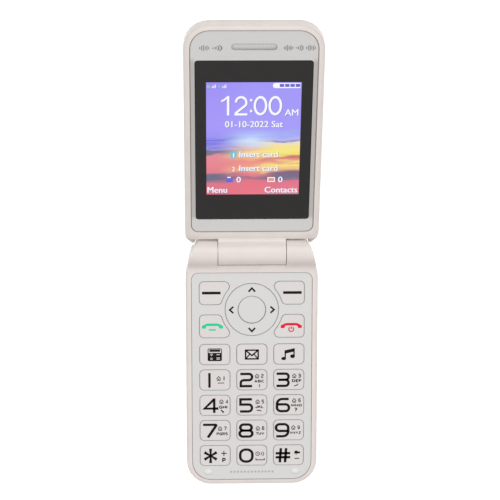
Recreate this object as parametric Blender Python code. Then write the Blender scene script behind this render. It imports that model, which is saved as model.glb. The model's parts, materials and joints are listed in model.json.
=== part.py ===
"""A clamshell mobile telephone with large keys, lying open on its back.

Metres, +Z up. The base lies on a table at z = 0 with its keypad up. X runs across the phone and
+Y runs from the keypad to the lid. The origin is the centre of the base's flat back. The lid is
modelled in the frame of the empty lid_axis: its Y runs along the lid away from the hinge, and its
Z points out of the screen.
"""

import math

import bmesh
import bpy
from mathutils import Matrix

MM = 0.001

# ---- Driving dimensions ----------------------------------------------------------------------
# The display sets the width and the length of both halves.
DISPLAY_W = 36.72 * MM  # lit area of a 2.4 inch panel
DISPLAY_H = 48.96 * MM
GLASS_SIDE = 4.2 * MM  # black border of the window, beside, below and above the lit area
GLASS_LOW = 11.3 * MM
GLASS_HIGH = 8.9 * MM
PANEL_SIDE = 1.8 * MM  # silver panel round the window
PANEL_LOW = 5.7 * MM
PANEL_HIGH = 12.3 * MM
RIM_SIDE = 2.7 * MM  # moulded rim round the silver panels
RIM_END = 2.3 * MM
RIM_HINGE = 4.2 * MM
END_CORNER = 10.0 * MM
LID_HINGE_CORNER = 3.2 * MM
PANEL_HINGE_CORNER = 2.8 * MM

BASE_THICK = 11.5 * MM
LID_THICK = 7.6 * MM
CLOSED_GAP = 0.6 * MM  # between the two rims when the phone is shut
OPEN_ANGLE = math.radians(160)

HINGE_R = 5.1 * MM
BARREL_LEN = 27.5 * MM
BORE_R = 3.4 * MM
EAR_BORE_END = 19.5 * MM
LID_CLEAR = 0.3 * MM  # from the ears to the lid's edge
NOTCH_CLEAR = 0.35 * MM  # round the barrel
BARREL_SIDE_GAP = 0.25 * MM
CORNER_IN = 3.86 * MM  # lid's side to its cover's corners, which reach past the ears
CORNER_REACH = 0.2 * MM  # hinge axis to their tips
CORNER_DEPTH = 5.4 * MM  # hinge axis to them, more than the ears' radius
EAR_FILLET = 3.5 * MM
EAR_INSET = 0.08 * MM  # the ears stand this far inside the rim
NECK_FILLET = 1.5 * MM
SHOULDERS = (  # how far the base has narrowed, distance from its hinge end, corner radius
    (0.0 * MM, 14.6 * MM, 20 * MM),
    (2.1 * MM, 4.8 * MM, 12 * MM),
    (5.1 * MM, 0.0 * MM, 1.2 * MM),
)

WALL = 1.4 * MM
SEAM = 0.2 * MM  # between two shells
PIECE_GAP = 0.3 * MM  # between pieces that rest on each other
EDGE_ROUND = 1.1 * MM
BACK_ROUND = 1.8 * MM

SPLIT_Z = 6.0 * MM  # where the base's two shells meet
LID_SPLIT = 4.3 * MM  # depth of the lid's inner shell
PANEL_THICK = 1.0 * MM
PANEL_SINK = 0.3 * MM  # the panels lie below their rims
LEDGE = 1.2 * MM  # what a panel rests on
LEDGE_THICK = 0.9 * MM
PANEL_FIT = 0.2 * MM
LID_PANEL_FIT = 0.35 * MM

# Keys.
KEYPAD_START = 8.7 * MM  # hinge axis to the keypad panel
KEYPAD_WIDER = 0.3 * MM  # than the lid's panel, on each side
NAV_FROM_AXIS = 24.05 * MM
NAV_R = 10.95 * MM
OK_R = 5.65 * MM
FIRST_ROW = 42.95 * MM  # hinge axis to the middle of the first row
LAST_ROW_TO_END = 12.65 * MM
ROWS = 5
KEY_EDGE = 2.86 * MM  # panel's edge to the outer keys
KEY_GAP_X = 2.86 * MM
KEY_GAP_Y = 2.3 * MM
KEY_CORNER = 1.7 * MM
KEY_PROUD = 0.5 * MM
KEY_SKIRT = 0.5 * MM  # flange that keeps a key under its panel
KEY_SKIRT_THICK = 0.55 * MM
KEY_FIT = 0.18 * MM
KEY_TRAVEL = 0.4 * MM
KEY_EDGE_ROUND = 0.3 * MM
CORNER_KEY_GAP = 1.85 * MM  # nav ring to the four keys round it
CORNER_KEY_NEAR = 2.2 * MM  # nav centre line to those keys
CORNER_KEY_FAR = 11.75 * MM
NAV_TILT_ROOM = 0.4 * MM
MAT_THICK = 0.6 * MM
DOME_SHEET_THICK = 0.25 * MM
DOME_R = 2.4 * MM
DOME_RISE = 0.2 * MM
BOARD_THICK = 0.8 * MM
BUMPER_W = 3.2 * MM
BUMPER_L = 2.0 * MM
BUMPER_RISE = 0.9 * MM
BUMPER_SIDE = 6.2 * MM  # panel's edge to the bumper's middle
BUMPER_END = 3.3 * MM

# Back of the base, and what is inside.
COVER_EDGE = 2.0 * MM
COVER_SKIN = 1.2 * MM
COVER_TO_AXIS = 20.0 * MM
DECK_THICK = 1.0 * MM
BATTERY_W = 34.0 * MM
WELL_FIT = 0.4 * MM
WELL_WALL = 0.9 * MM
PORT_ZONE = 12.5 * MM  # bottom end to the battery well
SIM_ZONE = 17.0 * MM  # battery well to the cover's edge
SCREW_IN = 5.0 * MM  # side of the base to a screw
SCREW_END = 7.5 * MM
BOSS_R = 2.5 * MM
SCREW_R = 0.8 * MM
SCREW_HEAD_R = 1.8 * MM
SCREW_HEAD = 0.9 * MM
SCREW_FIT = 0.3 * MM
EARPIECE_SLOT_W = 17.5 * MM
EARPIECE_SLOT_H = 2.6 * MM
EARPIECE_DROP = 5.8 * MM  # top of the window to the middle of the slot
CAMERA_R = 3.0 * MM
CAMERA_FROM_END = 14.0 * MM

ARC_STEPS = 6
ROUND_STEPS = 28
KEY_STEPS = 3
NAV_STEPS = 28
RING_STEPS = 44

# ---- Worked out from them --------------------------------------------------------------------
GLASS_W = DISPLAY_W + 2 * GLASS_SIDE
GLASS_H = DISPLAY_H + GLASS_LOW + GLASS_HIGH
PANEL_W = GLASS_W + 2 * PANEL_SIDE
WIDTH = PANEL_W + 2 * RIM_SIDE
CORNER_X = WIDTH / 2 - CORNER_IN
LID_START = HINGE_R + LID_CLEAR
PANEL_FROM = LID_START + RIM_HINGE
GLASS_FROM = PANEL_FROM + PANEL_LOW
PANEL_TO = GLASS_FROM + GLASS_H + PANEL_HIGH
REACH = PANEL_TO + RIM_END  # hinge axis to the far end of either half
BASE_LEN = REACH + HINGE_R
AXIS_Y = BASE_LEN / 2 - HINGE_R
AXIS_Z = BASE_THICK + CLOSED_GAP / 2
END_Y = -BASE_LEN / 2
TOP_Y = BASE_LEN / 2
LID_FACE = -CLOSED_GAP / 2
LID_BACK = LID_FACE - LID_THICK
PLATE_TOP = BASE_THICK - PANEL_SINK
PLATE_LOW = PLATE_TOP - PANEL_THICK
KEY_TOP = PLATE_TOP + KEY_PROUD
SKIRT_TOP = PLATE_LOW - KEY_FIT
SKIRT_LOW = SKIRT_TOP - KEY_SKIRT_THICK
MAT_TOP = SKIRT_LOW - KEY_TRAVEL - 0.1 * MM
MAT_LOW = MAT_TOP - MAT_THICK
SHEET_LOW = MAT_LOW - DOME_RISE - 0.1 * MM - DOME_SHEET_THICK
BOARD_TOP = SHEET_LOW - 0.1 * MM
BOARD_LOW = BOARD_TOP - BOARD_THICK
PANEL_END_Y = END_Y + RIM_END
PANEL_TOP_Y = AXIS_Y - KEYPAD_START
NAV_Y = AXIS_Y - NAV_FROM_AXIS
ROW_PITCH = (REACH - FIRST_ROW - LAST_ROW_TO_END) / (ROWS - 1)
KEY_W = (PANEL_W - 2 * KEY_EDGE - 2 * KEY_GAP_X) / 3
KEY_H = ROW_PITCH - KEY_GAP_Y
COLUMN_PITCH = KEY_W + KEY_GAP_X
COVER_TOP_Y = AXIS_Y - COVER_TO_AXIS
DECK_LOW = COVER_EDGE + SEAM
DECK_TOP = DECK_LOW + DECK_THICK
WELL_FROM_Y = END_Y + PORT_ZONE
WELL_TO_Y = COVER_TOP_Y - SIM_ZONE
CAVITY_HALF = WIDTH / 2 - WALL
CAVITY_END_Y = END_Y + WALL
CAVITY_TOP_Y = AXIS_Y - HINGE_R - NOTCH_CLEAR - WALL
CAVITY_TOP_Z = PLATE_LOW - PIECE_GAP / 2 - LEDGE_THICK
BOARD_HALF = WIDTH / 2 - SCREW_IN - BOSS_R - PIECE_GAP

WHITE = ("pearl_white_plastic", "#ece4df", 0.32, 0.0)
SILVER = ("silver_grey_plastic", "#d9d9d6", 0.38, 0.1)
KEYCAP = ("keycap_plastic", "#e3deda", 0.35, 0.0)
BLACK_GLASS = ("window_black", "#3a3637", 0.08, 0.0)
LIT = ("display_glass", "#7d7ad8", 0.2, 0.0)
RUBBER = ("grey_silicone", "#c9cac8", 0.7, 0.0)
BOARD = ("circuit_board_green", "#1f5b3a", 0.5, 0.0)
STEEL = ("stainless_steel", "#b8b9bb", 0.3, 1.0)
DARK = ("dark_plastic", "#2b2b2d", 0.5, 0.0)
CELL = ("battery_wrap", "#dfe1e3", 0.4, 0.0)
FILM = ("polyimide_film", "#b8762a", 0.35, 0.0)


# ---- Outlines --------------------------------------------------------------------------------
def arc(centre, radius, start, end, steps=ARC_STEPS):
    """Points on a circle, angles in degrees, both ends included."""
    angles = [math.radians(start + (end - start) * i / steps) for i in range(steps + 1)]
    return [(centre[0] + radius * math.cos(a), centre[1] + radius * math.sin(a)) for a in angles]


def circle(radius, steps=ROUND_STEPS, centre=(0, 0)):
    return arc(centre, radius, 0, 360, steps)[:-1]


def rounded(corners, steps=ARC_STEPS):
    """A closed outline through (x, y, radius) corners, taken anticlockwise."""
    points = []
    for i, (x, y, radius) in enumerate(corners):
        px, py, _ = corners[i - 1]
        nx, ny, _ = corners[(i + 1) % len(corners)]
        heading_in = math.atan2(y - py, x - px)
        turn = math.remainder(math.atan2(ny - y, nx - x) - heading_in, math.tau)
        side = math.copysign(1, turn)
        back = radius * math.tan(abs(turn) / 2)
        cx = x - back * math.cos(heading_in) - side * radius * math.sin(heading_in)
        cy = y - back * math.sin(heading_in) + side * radius * math.cos(heading_in)
        first = math.degrees(heading_in) - side * 90
        points += arc((cx, cy), radius, first, first + math.degrees(turn), steps)
    return points


def box_outline(x0, y0, x1, y1, radius=0.0, top_radius=None, steps=ARC_STEPS):
    """A rectangle with rounded corners; the two at y1 may have their own radius."""
    if not radius and not top_radius:
        return [(x0, y0), (x1, y0), (x1, y1), (x0, y1)]
    top = radius if top_radius is None else top_radius
    return rounded([(x0, y0, radius), (x1, y0, radius), (x1, y1, top), (x0, y1, top)], steps)


def shrunk(outline, by):
    """The outline moved inwards by a distance, along the bisector at each point."""
    moved = []
    for i, (x, y) in enumerate(outline):
        ax, ay = outline[i - 1]
        bx, by_ = outline[(i + 1) % len(outline)]
        before = math.atan2(y - ay, x - ax)
        turn = math.remainder(math.atan2(by_ - y, bx - x) - before, math.tau)
        inwards = before + turn / 2 + math.pi / 2
        reach = by / math.cos(turn / 2)
        moved.append((x + reach * math.cos(inwards), y + reach * math.sin(inwards)))
    return moved


# ---- Solids ----------------------------------------------------------------------------------
def link(name, mesh, parent=None, at=(0, 0, 0)):
    thing = bpy.data.objects.new(name, mesh)
    bpy.context.scene.collection.objects.link(thing)
    thing.parent = parent
    thing.location = at
    return thing


def loft(name, sections, parent=None, at=(0, 0, 0), matrix=None):
    """A closed solid through (outline, height) sections that have equally many points."""
    shape = bmesh.new()
    rings = [[shape.verts.new((x, y, h)) for x, y in outline] for outline, h in sections]
    count = len(rings[0])
    for low, high in zip(rings, rings[1:]):
        for i in range(count):
            j = (i + 1) % count
            shape.faces.new((low[i], low[j], high[j], high[i]))
    shape.faces.new(list(reversed(rings[0])))
    shape.faces.new(rings[-1])
    if matrix is not None:
        bmesh.ops.transform(shape, matrix=matrix, verts=shape.verts)
    bmesh.ops.recalc_face_normals(shape, faces=shape.faces)
    mesh = bpy.data.meshes.new(name)
    shape.to_mesh(mesh)
    shape.free()
    return link(name, mesh, parent, at)


def prism(name, outline, z0, z1, parent=None, at=(0, 0, 0)):
    return loft(name, [(outline, z0), (outline, z1)], parent, at)


def box(name, x0, y0, z0, x1, y1, z1, parent=None, at=(0, 0, 0)):
    return prism(name, box_outline(x0, y0, x1, y1), z0, z1, parent, at)


ALONG_X = Matrix(((0, 0, 1, 0), (1, 0, 0, 0), (0, 1, 0, 0), (0, 0, 0, 1)))


def prism_x(name, profile, x0, x1, parent=None, at=(0, 0, 0)):
    """A (y, z) profile run along X."""
    return loft(name, [(profile, x0), (profile, x1)], parent, at, ALONG_X)


def rod_x(name, radius, x0, x1, parent=None, at=(0, 0, 0), steps=ROUND_STEPS):
    return prism_x(name, circle(radius, steps), x0, x1, parent, at)


def combine(target, operation, tools):
    for tool in tools:
        modifier = target.modifiers.new(tool.name, "BOOLEAN")
        modifier.operation = operation
        modifier.solver = "EXACT"
        modifier.object = tool
        tool.hide_render = True
        tool.display_type = "WIRE"
    return target


def cut(target, *tools):
    return combine(target, "DIFFERENCE", tools)


def join(target, *tools):
    return combine(target, "UNION", tools)


def overlap(target, *tools):
    return combine(target, "INTERSECT", tools)


def linear(channel):
    return channel / 12.92 if channel <= 0.04045 else ((channel + 0.055) / 1.055) ** 2.4


def paint(thing, look):
    """Gives the object a material of its own: colour, roughness and metallic value."""
    _, colour, roughness, metallic = look
    material = bpy.data.materials.new(f"{thing.name}_finish")
    material.use_nodes = True
    shader = material.node_tree.nodes["Principled BSDF"]
    rgb = [linear(int(colour[i : i + 2], 16) / 255) for i in (1, 3, 5)]
    shader.inputs["Base Color"].default_value = (*rgb, 1)
    shader.inputs["Roughness"].default_value = roughness
    shader.inputs["Metallic"].default_value = metallic
    thing.data.materials.append(material)
    thing.data.shade_smooth()
    thing.data.set_sharp_from_angle(angle=math.radians(35))
    return thing


# ---- Outlines of the two halves --------------------------------------------------------------
def lid_outline():
    half = WIDTH / 2
    return box_outline(-half, LID_START, half, REACH, LID_HINGE_CORNER, END_CORNER)


def lid_panel_outline(grow=0.0):
    half = PANEL_W / 2
    return shrunk(
        box_outline(-half, PANEL_FROM, half, PANEL_TO, PANEL_HINGE_CORNER, END_CORNER - RIM_SIDE),
        -grow,
    )


def base_outline():
    """The base narrows to its ears at the hinge end."""
    half = WIDTH / 2
    right = [(half - narrower, TOP_Y - back, radius) for narrower, back, radius in SHOULDERS]
    left = [(-x, y, radius) for x, y, radius in reversed(right)]
    ends = [(-half, END_Y, END_CORNER), (half, END_Y, END_CORNER)]
    return rounded(ends + right + left)


def keypad_outline(grow=0.0):
    half = PANEL_W / 2 + KEYPAD_WIDER
    corner = END_CORNER - RIM_SIDE + KEYPAD_WIDER
    outline = box_outline(-half, PANEL_END_Y, half, PANEL_TOP_Y, corner, PANEL_HINGE_CORNER)
    return shrunk(outline, -grow)


def edge_rounded(outline, low, high, low_round, high_round):
    """Sections from low to high whose outer edges are rounded in three flats."""
    shares = ((0.0, 1.0), (0.3, 0.4), (1.0, 0.0))  # height and inset as shares of the radius
    below = [(shrunk(outline, low_round * i), low + low_round * h) for h, i in shares]
    above = [(shrunk(outline, high_round * i), high - high_round * h) for h, i in reversed(shares)]
    if not low_round:
        below = [(outline, low)]
    if not high_round:
        above = [(outline, high)]
    return below + above


# ---- Base shells -----------------------------------------------------------------------------
def screw_places():
    x = WIDTH / 2 - SCREW_IN
    return [
        (side * x, y) for y in (END_Y + SCREW_END, COVER_TOP_Y - SCREW_IN) for side in (-1, 1)
    ]


def hinge_block_profile():
    """(y, z) section of the ears: a cylinder that runs into the rim through a fillet."""
    fillet_z = EAR_FILLET - CLOSED_GAP / 2
    fillet_y = -math.sqrt((HINGE_R + EAR_FILLET) ** 2 - fillet_z**2)
    touch = 180 - math.degrees(math.atan2(fillet_z, -fillet_y))
    fillet = arc((fillet_y, fillet_z), EAR_FILLET, 270, 360 - (180 - touch))
    ear = arc((0, 0), HINGE_R, touch, -12, 18)[1:]
    inner_z = -CLOSED_GAP / 2 - 2.5 * MM
    return list(reversed(fillet + ear + [(1 * MM, inner_z), (fillet_y, inner_z)]))


def barrel_notch(name):
    """Room for the lid's barrel, and above it on the hinge side for the lid's neck."""
    half = BARREL_LEN / 2 + BARREL_SIDE_GAP
    radius = HINGE_R + NOTCH_CLEAR
    at = (0, AXIS_Y, AXIS_Z)
    far = 2 * HINGE_R
    profile = arc((0, 0), radius, 90, 270, 20) + [(far, -radius), (far, radius)]
    return prism_x(name, profile, -half, half, at=at)


def neck_room(name):
    """Takes away the ears' fillet behind the barrel, where the lid's neck lies when it is shut."""
    half = BARREL_LEN / 2 + BARREL_SIDE_GAP
    start = AXIS_Y - HINGE_R - 2 * EAR_FILLET
    return box(name, -half, start, BASE_THICK + 0.05 * MM, half, AXIS_Y, 3 * BASE_THICK)


def corner_rooms(name):
    """Room beside each ear for the corners of the lid's cover; the ears stay round."""
    rooms = []
    for side in (-1, 1):
        x0, x1 = sorted((side * (CORNER_X - PIECE_GAP), side * WIDTH))
        room = box(
            f"{name}_{side + 1}", x0, AXIS_Y + 1 * MM, -1 * MM, x1, 2 * TOP_Y, AXIS_Z - 1 * MM
        )
        keep = rod_x(
            f"{name}_keep_{side + 1}", HINGE_R + 0.15 * MM, -2 * WIDTH, 2 * WIDTH,
            at=(0, AXIS_Y, AXIS_Z),
        )
        rooms.append(cut(room, keep))
    return rooms


def make_front_housing():
    low = SPLIT_Z + SEAM / 2
    body = loft(
        "base_front_housing", edge_rounded(base_outline(), low, BASE_THICK, 0, EDGE_ROUND)
    )
    ears = prism_x(
        "ears_tool", hinge_block_profile(), -WIDTH / 2, WIDTH / 2, at=(0, AXIS_Y, AXIS_Z)
    )
    limit = shrunk(base_outline(), EAR_INSET)
    overlap(ears, prism("ears_limit_tool", limit, 0, 3 * BASE_THICK))
    join(body, ears)
    cavity = box_outline(
        -CAVITY_HALF, CAVITY_END_Y, CAVITY_HALF, CAVITY_TOP_Y, END_CORNER - WALL, 1 * MM
    )
    seat = keypad_outline(PANEL_FIT)
    cut(
        body,
        barrel_notch("front_notch_tool"),
        neck_room("neck_room_tool"),
        *corner_rooms("front_corner_tool"),
        prism("front_cavity_tool", cavity, 0, CAVITY_TOP_Z),
        prism("keypad_seat_tool", seat, PLATE_LOW - PIECE_GAP / 2, 2 * BASE_THICK),
        prism("keypad_window_tool", keypad_outline(-LEDGE), 0, BASE_THICK),
        rod_x("ear_bore_tool", BORE_R, -EAR_BORE_END, EAR_BORE_END, at=(0, AXIS_Y, AXIS_Z)),
        box(
            "cable_channel_tool",
            -EAR_BORE_END + 1 * MM,
            CAVITY_TOP_Y - 1 * MM,
            CAVITY_TOP_Z - 2.2 * MM,
            -EAR_BORE_END + 4 * MM,
            AXIS_Y,
            CAVITY_TOP_Z,
        ),
    )
    boss_top = MAT_LOW
    for i, (x, y) in enumerate(screw_places()):
        join(body, boss(f"front_boss_tool_{i}", x, y, low + 0.1 * MM, boss_top))
        thread = circle(SCREW_R + 0.05 * MM, 10, (x, y))
        cut(body, prism(f"front_thread_tool_{i}", thread, 0, boss_top - 0.5 * MM))
    return paint(body, WHITE)


def boss(name, x, y, low, high):
    """A screw boss tied to the side wall by a rib."""
    side = math.copysign(1, x)
    wall_x = side * (CAVITY_HALF + WALL / 2)
    outline = circle(BOSS_R, 14, (x, y))
    post = prism(name, outline, low, high)
    rib = [x, wall_x]
    half, lift = 0.6 * MM, 0.2 * MM
    return join(
        post, box(f"{name}_rib", min(rib), y - half, low + lift, max(rib), y + half, high - lift)
    )


def make_rear_housing():
    high = SPLIT_Z - SEAM / 2
    body = loft("base_rear_housing", edge_rounded(base_outline(), 0, high, BACK_ROUND, 0))
    half = WIDTH
    corner = END_CORNER - WALL
    deck_room = box_outline(-CAVITY_HALF, CAVITY_END_Y, CAVITY_HALF, CAVITY_TOP_Y, corner, 1 * MM)
    speaker_room = box_outline(
        -CAVITY_HALF + 4 * MM, COVER_TOP_Y + WALL, CAVITY_HALF - 4 * MM, CAVITY_TOP_Y, 1 * MM
    )
    cut(
        body,
        box("cover_room_tool", -half, -half, -1 * MM, half, COVER_TOP_Y, DECK_LOW),
        prism("rear_cavity_tool", deck_room, DECK_TOP, 2 * BASE_THICK),
        prism("speaker_room_tool", speaker_room, COVER_SKIN + 0.4 * MM, 2 * BASE_THICK),
        barrel_notch("rear_notch_tool"),
        *corner_rooms("rear_corner_tool"),
    )
    well = box_outline(-BATTERY_W / 2, WELL_FROM_Y, BATTERY_W / 2, WELL_TO_Y)
    outer = shrunk(well, -WELL_FIT - WELL_WALL)
    join(body, prism("well_wall_tool", outer, DECK_LOW, min(high, BOARD_LOW - PIECE_GAP) - 0.2 * MM))
    cut(body, prism("well_tool", shrunk(well, -WELL_FIT), 0, 2 * BASE_THICK))
    for i, (x, y) in enumerate(screw_places()):
        head_top = DECK_LOW + SCREW_HEAD + SCREW_FIT
        join(body, boss(f"rear_boss_tool_{i}", x, y, DECK_LOW + 0.1 * MM, high - 0.1 * MM))
        cut(
            body,
            prism(f"head_room_tool_{i}", circle(SCREW_HEAD_R + SCREW_FIT, 14, (x, y)), 0, head_top),
            prism(f"shank_room_tool_{i}", circle(SCREW_R + SCREW_FIT, 10, (x, y)), 0, 2 * BASE_THICK),
        )
    cut(body, usb_room(), sim_window(), *sound_slots())
    return paint(body, WHITE)


USB_W = 7.6 * MM
USB_H = 2.6 * MM
USB_L = 5.2 * MM
USB_LOW = DECK_TOP + PIECE_GAP


def usb_room():
    half = USB_W / 2 + PIECE_GAP
    low = USB_LOW - PIECE_GAP / 2
    high = USB_LOW + USB_H + PIECE_GAP
    return box("usb_room_tool", -half, END_Y - 1 * MM, low, half, END_Y + 3 * MM, min(high, SPLIT_Z))


SIM_W = 26.0 * MM
SIM_MARGIN = 1.6 * MM


def sim_window():
    """The cards go in from the back, beside the battery."""
    half = SIM_W / 2 - 1.5 * MM
    return box(
        "sim_window_tool",
        -half,
        WELL_TO_Y + WELL_FIT + WELL_WALL + SIM_MARGIN,
        0,
        half,
        COVER_TOP_Y - 2 * SIM_MARGIN,
        DECK_TOP + 0.1 * MM,
    )


SOUND_SLOTS = 5
SOUND_SLOT_PITCH = 1.6 * MM
SOUND_SLOT_HALF = 5.0 * MM
SPEAKER_L = 10.0 * MM
SPEAKER_W = 15.0 * MM
SPEAKER_Y = COVER_TOP_Y + WALL + PIECE_GAP + SPEAKER_L / 2


def sound_slots():
    slots = []
    for i in range(SOUND_SLOTS):
        y = SPEAKER_Y + (i - (SOUND_SLOTS - 1) / 2) * SOUND_SLOT_PITCH
        outline = box_outline(
            -SOUND_SLOT_HALF, y - 0.4 * MM, SOUND_SLOT_HALF, y + 0.4 * MM, 0.39 * MM, steps=2
        )
        slots.append(prism(f"sound_slot_tool_{i}", outline, -1 * MM, 3 * MM))
    return slots


def make_battery_cover():
    """Slides off towards the bottom end; its room for the battery is open at the hinge side."""
    body = loft("battery_cover", edge_rounded(base_outline(), 0, SPLIT_Z, BACK_ROUND, 0))
    half = WIDTH
    limit = box_outline(-half, -half, half, COVER_TOP_Y - SEAM)
    overlap(body, prism("cover_limit_tool", limit, -1 * MM, COVER_EDGE))
    inner_end_y, past_edge_y = CAVITY_END_Y + 0.6 * MM, COVER_TOP_Y + 5 * MM
    corner = END_CORNER - 2 * MM
    inner = box_outline(-CAVITY_HALF, inner_end_y, CAVITY_HALF, past_edge_y, corner, 1 * MM)
    cut(body, prism("cover_hollow_tool", inner, COVER_SKIN, 2 * BASE_THICK))
    return paint(body, WHITE)


# ---- Keypad ----------------------------------------------------------------------------------
def key_outline():
    return box_outline(-KEY_W / 2, -KEY_H / 2, KEY_W / 2, KEY_H / 2, KEY_CORNER, steps=KEY_STEPS)


def corner_key_outline(side, above):
    """One of the four keys round the nav ring, about the ring's centre. Its inner edge is an arc."""
    outer_x = PANEL_W / 2 - KEY_EDGE
    reach = NAV_R + CORNER_KEY_GAP
    near_r, far_r, corner = 1.8 * MM, 2.0 * MM, KEY_CORNER
    near_y = CORNER_KEY_NEAR + near_r
    near_x = math.sqrt((reach + near_r) ** 2 - near_y**2)
    far_y = CORNER_KEY_FAR - far_r
    far_x = math.sqrt((reach + far_r) ** 2 - far_y**2)
    near_angle = math.degrees(math.atan2(near_y, near_x))
    far_angle = math.degrees(math.atan2(far_y, far_x))
    right_top = (
        arc((near_x, near_y), near_r, 180 + near_angle, 270, KEY_STEPS)
        + arc((outer_x - corner, CORNER_KEY_NEAR + corner), corner, 270, 360, KEY_STEPS)
        + arc((outer_x - corner, CORNER_KEY_FAR - corner), corner, 0, 90, KEY_STEPS)
        + arc((far_x, far_y), far_r, 90, 180 + far_angle, KEY_STEPS)
        + arc((0, 0), reach, far_angle, near_angle, KEY_STEPS + 1)[1:-1]
    )
    points = [(side * x, (1 if above else -1) * y) for x, y in right_top]
    return points if (side > 0) == above else list(reversed(points))


def keycap(name, outline, at):
    """A cap with a rounded edge, and a skirt that stays under the keypad panel."""
    skirt = shrunk(outline, -KEY_SKIRT)
    return paint(
        loft(
            name,
            [
                (skirt, SKIRT_LOW),
                (skirt, SKIRT_TOP),
                (outline, SKIRT_TOP),
                (outline, KEY_TOP - KEY_EDGE_ROUND),
                (shrunk(outline, KEY_EDGE_ROUND), KEY_TOP),
            ],
            at=at,
        ),
        KEYCAP,
    )


ROW_NAMES = (
    ("calculator_key", "message_key", "music_key"),
    ("key_1", "key_2", "key_3"),
    ("key_4", "key_5", "key_6"),
    ("key_7", "key_8", "key_9"),
    ("key_star", "key_0", "key_hash"),
)
CORNER_KEYS = (
    ("soft_key_left", -1, True),
    ("soft_key_right", 1, True),
    ("call_key", -1, False),
    ("end_key", 1, False),
)


def key_places():
    """(name, outline about its origin, x, y) of every key but the nav ring and the middle one."""
    places = [(name, corner_key_outline(s, up), 0, NAV_Y) for name, s, up in CORNER_KEYS]
    for row, names in enumerate(ROW_NAMES):
        y = AXIS_Y - FIRST_ROW - row * ROW_PITCH
        for column, name in enumerate(names):
            places.append((name, key_outline(), (column - 1) * COLUMN_PITCH, y))
    return places


def make_keys():
    for name, outline, x, y in key_places():
        keycap(name, outline, (x, y, 0))
    ok = circle(OK_R, NAV_STEPS)
    paint(
        loft(
            "ok_key",
            [
                (ok, SKIRT_LOW),
                (ok, KEY_TOP - KEY_EDGE_ROUND),
                (shrunk(ok, KEY_EDGE_ROUND), KEY_TOP),
            ],
            at=(0, NAV_Y, 0),
        ),
        KEYCAP,
    )
    make_nav()


def make_nav():
    """The ring tips about X on the rocker, which tips about Y; both pass through nav_pivot."""
    pivot = link("nav_pivot", None, at=(0, NAV_Y, SKIRT_LOW))
    outer = circle(NAV_R, RING_STEPS)
    skirt = circle(NAV_R + KEY_SKIRT, RING_STEPS)
    skirt_top = PLATE_LOW - NAV_TILT_ROOM
    ring = loft(
        "nav_ring",
        [
            (skirt, 0),
            (skirt, skirt_top - SKIRT_LOW),
            (outer, skirt_top - SKIRT_LOW),
            (outer, KEY_TOP - KEY_EDGE_ROUND - SKIRT_LOW),
            (shrunk(outer, KEY_EDGE_ROUND), KEY_TOP - SKIRT_LOW),
        ],
        pivot,
    )
    hole = circle(OK_R + KEY_FIT, NAV_STEPS)
    cut(ring, prism("nav_hole_tool", hole, -5 * MM, 5 * MM, pivot))
    paint(ring, SILVER)
    rocker = prism("nav_rocker", circle(OK_R - 0.5 * MM, 20), -0.95 * MM, -0.55 * MM, pivot)
    cut(rocker, prism("rocker_hole_tool", circle(DOME_R + 0.8 * MM, 20), -5 * MM, 5 * MM, pivot))
    paint(rocker, RUBBER)


def make_keypad_panel():
    panel = prism("keypad_panel", keypad_outline(), PLATE_LOW, PLATE_TOP)
    for name, outline, x, y in key_places():
        hole = shrunk(outline, -KEY_FIT)
        cut(panel, prism(f"{name}_hole_tool", hole, 0, 2 * BASE_THICK, at=(x, y, 0)))
    nav_hole = circle(NAV_R + KEY_FIT, RING_STEPS, (0, NAV_Y))
    cut(panel, prism("nav_ring_hole_tool", nav_hole, 0, 2 * BASE_THICK))
    paint(panel, SILVER)
    for side, name in ((-1, "bumper_left"), (1, "bumper_right")):
        at = (side * (PANEL_W / 2 - BUMPER_SIDE), PANEL_END_Y + BUMPER_END, PLATE_TOP + 0.05 * MM)
        x, y = BUMPER_W / 2, BUMPER_L / 2
        pad = box_outline(-x, -y, x, y, 0.6 * MM, steps=4)
        sections = [(pad, 0), (pad, BUMPER_RISE * 0.6), (shrunk(pad, 0.15 * MM), BUMPER_RISE)]
        paint(loft(name, sections, at=at), RUBBER)


def make_key_stack():
    """Silicone mat, sheet of snap domes and main board, from the keys down."""
    end_y = CAVITY_END_Y + 3 * MM
    top_y = CAVITY_TOP_Y - PIECE_GAP
    half = BOARD_HALF

    def sheet(grow=0.0):
        return box_outline(-half - grow, end_y - grow, half + grow, top_y + grow, 2 * MM, steps=3)

    mat = prism("key_mat", sheet(), MAT_LOW, MAT_TOP)
    cut(mat, prism("mat_hole_tool", circle(OK_R - 0.1 * MM, 20, (0, NAV_Y)), 0, 2 * BASE_THICK))
    paint(mat, RUBBER)
    domes = prism("dome_sheet", sheet(), SHEET_LOW, SHEET_LOW + DOME_SHEET_THICK)
    nav_reach = (NAV_R + OK_R) / 2
    places = [(0, NAV_Y)] + [
        (nav_reach * x, NAV_Y + nav_reach * y) for x, y in ((1, 0), (0, 1), (-1, 0), (0, -1))
    ]
    places += [(x, y) for name, _, x, y in key_places() if (x, y) != (0, NAV_Y)]
    places += [
        (side * COLUMN_PITCH, NAV_Y + up * (CORNER_KEY_NEAR + CORNER_KEY_FAR) / 2)
        for side in (-1, 1)
        for up in (-1, 1)
    ]
    top = SHEET_LOW + DOME_SHEET_THICK
    for i, (x, y) in enumerate(places):
        sections = [
            (circle(DOME_R, 8, (x, y)), top - 0.1 * MM),
            (circle(DOME_R * 0.5, 8, (x, y)), top + DOME_RISE),
        ]
        join(domes, loft(f"dome_tool_{i}", sections))
    paint(domes, STEEL)
    board = prism("main_board", sheet(), BOARD_LOW, BOARD_TOP)
    paint(board, BOARD)


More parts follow.
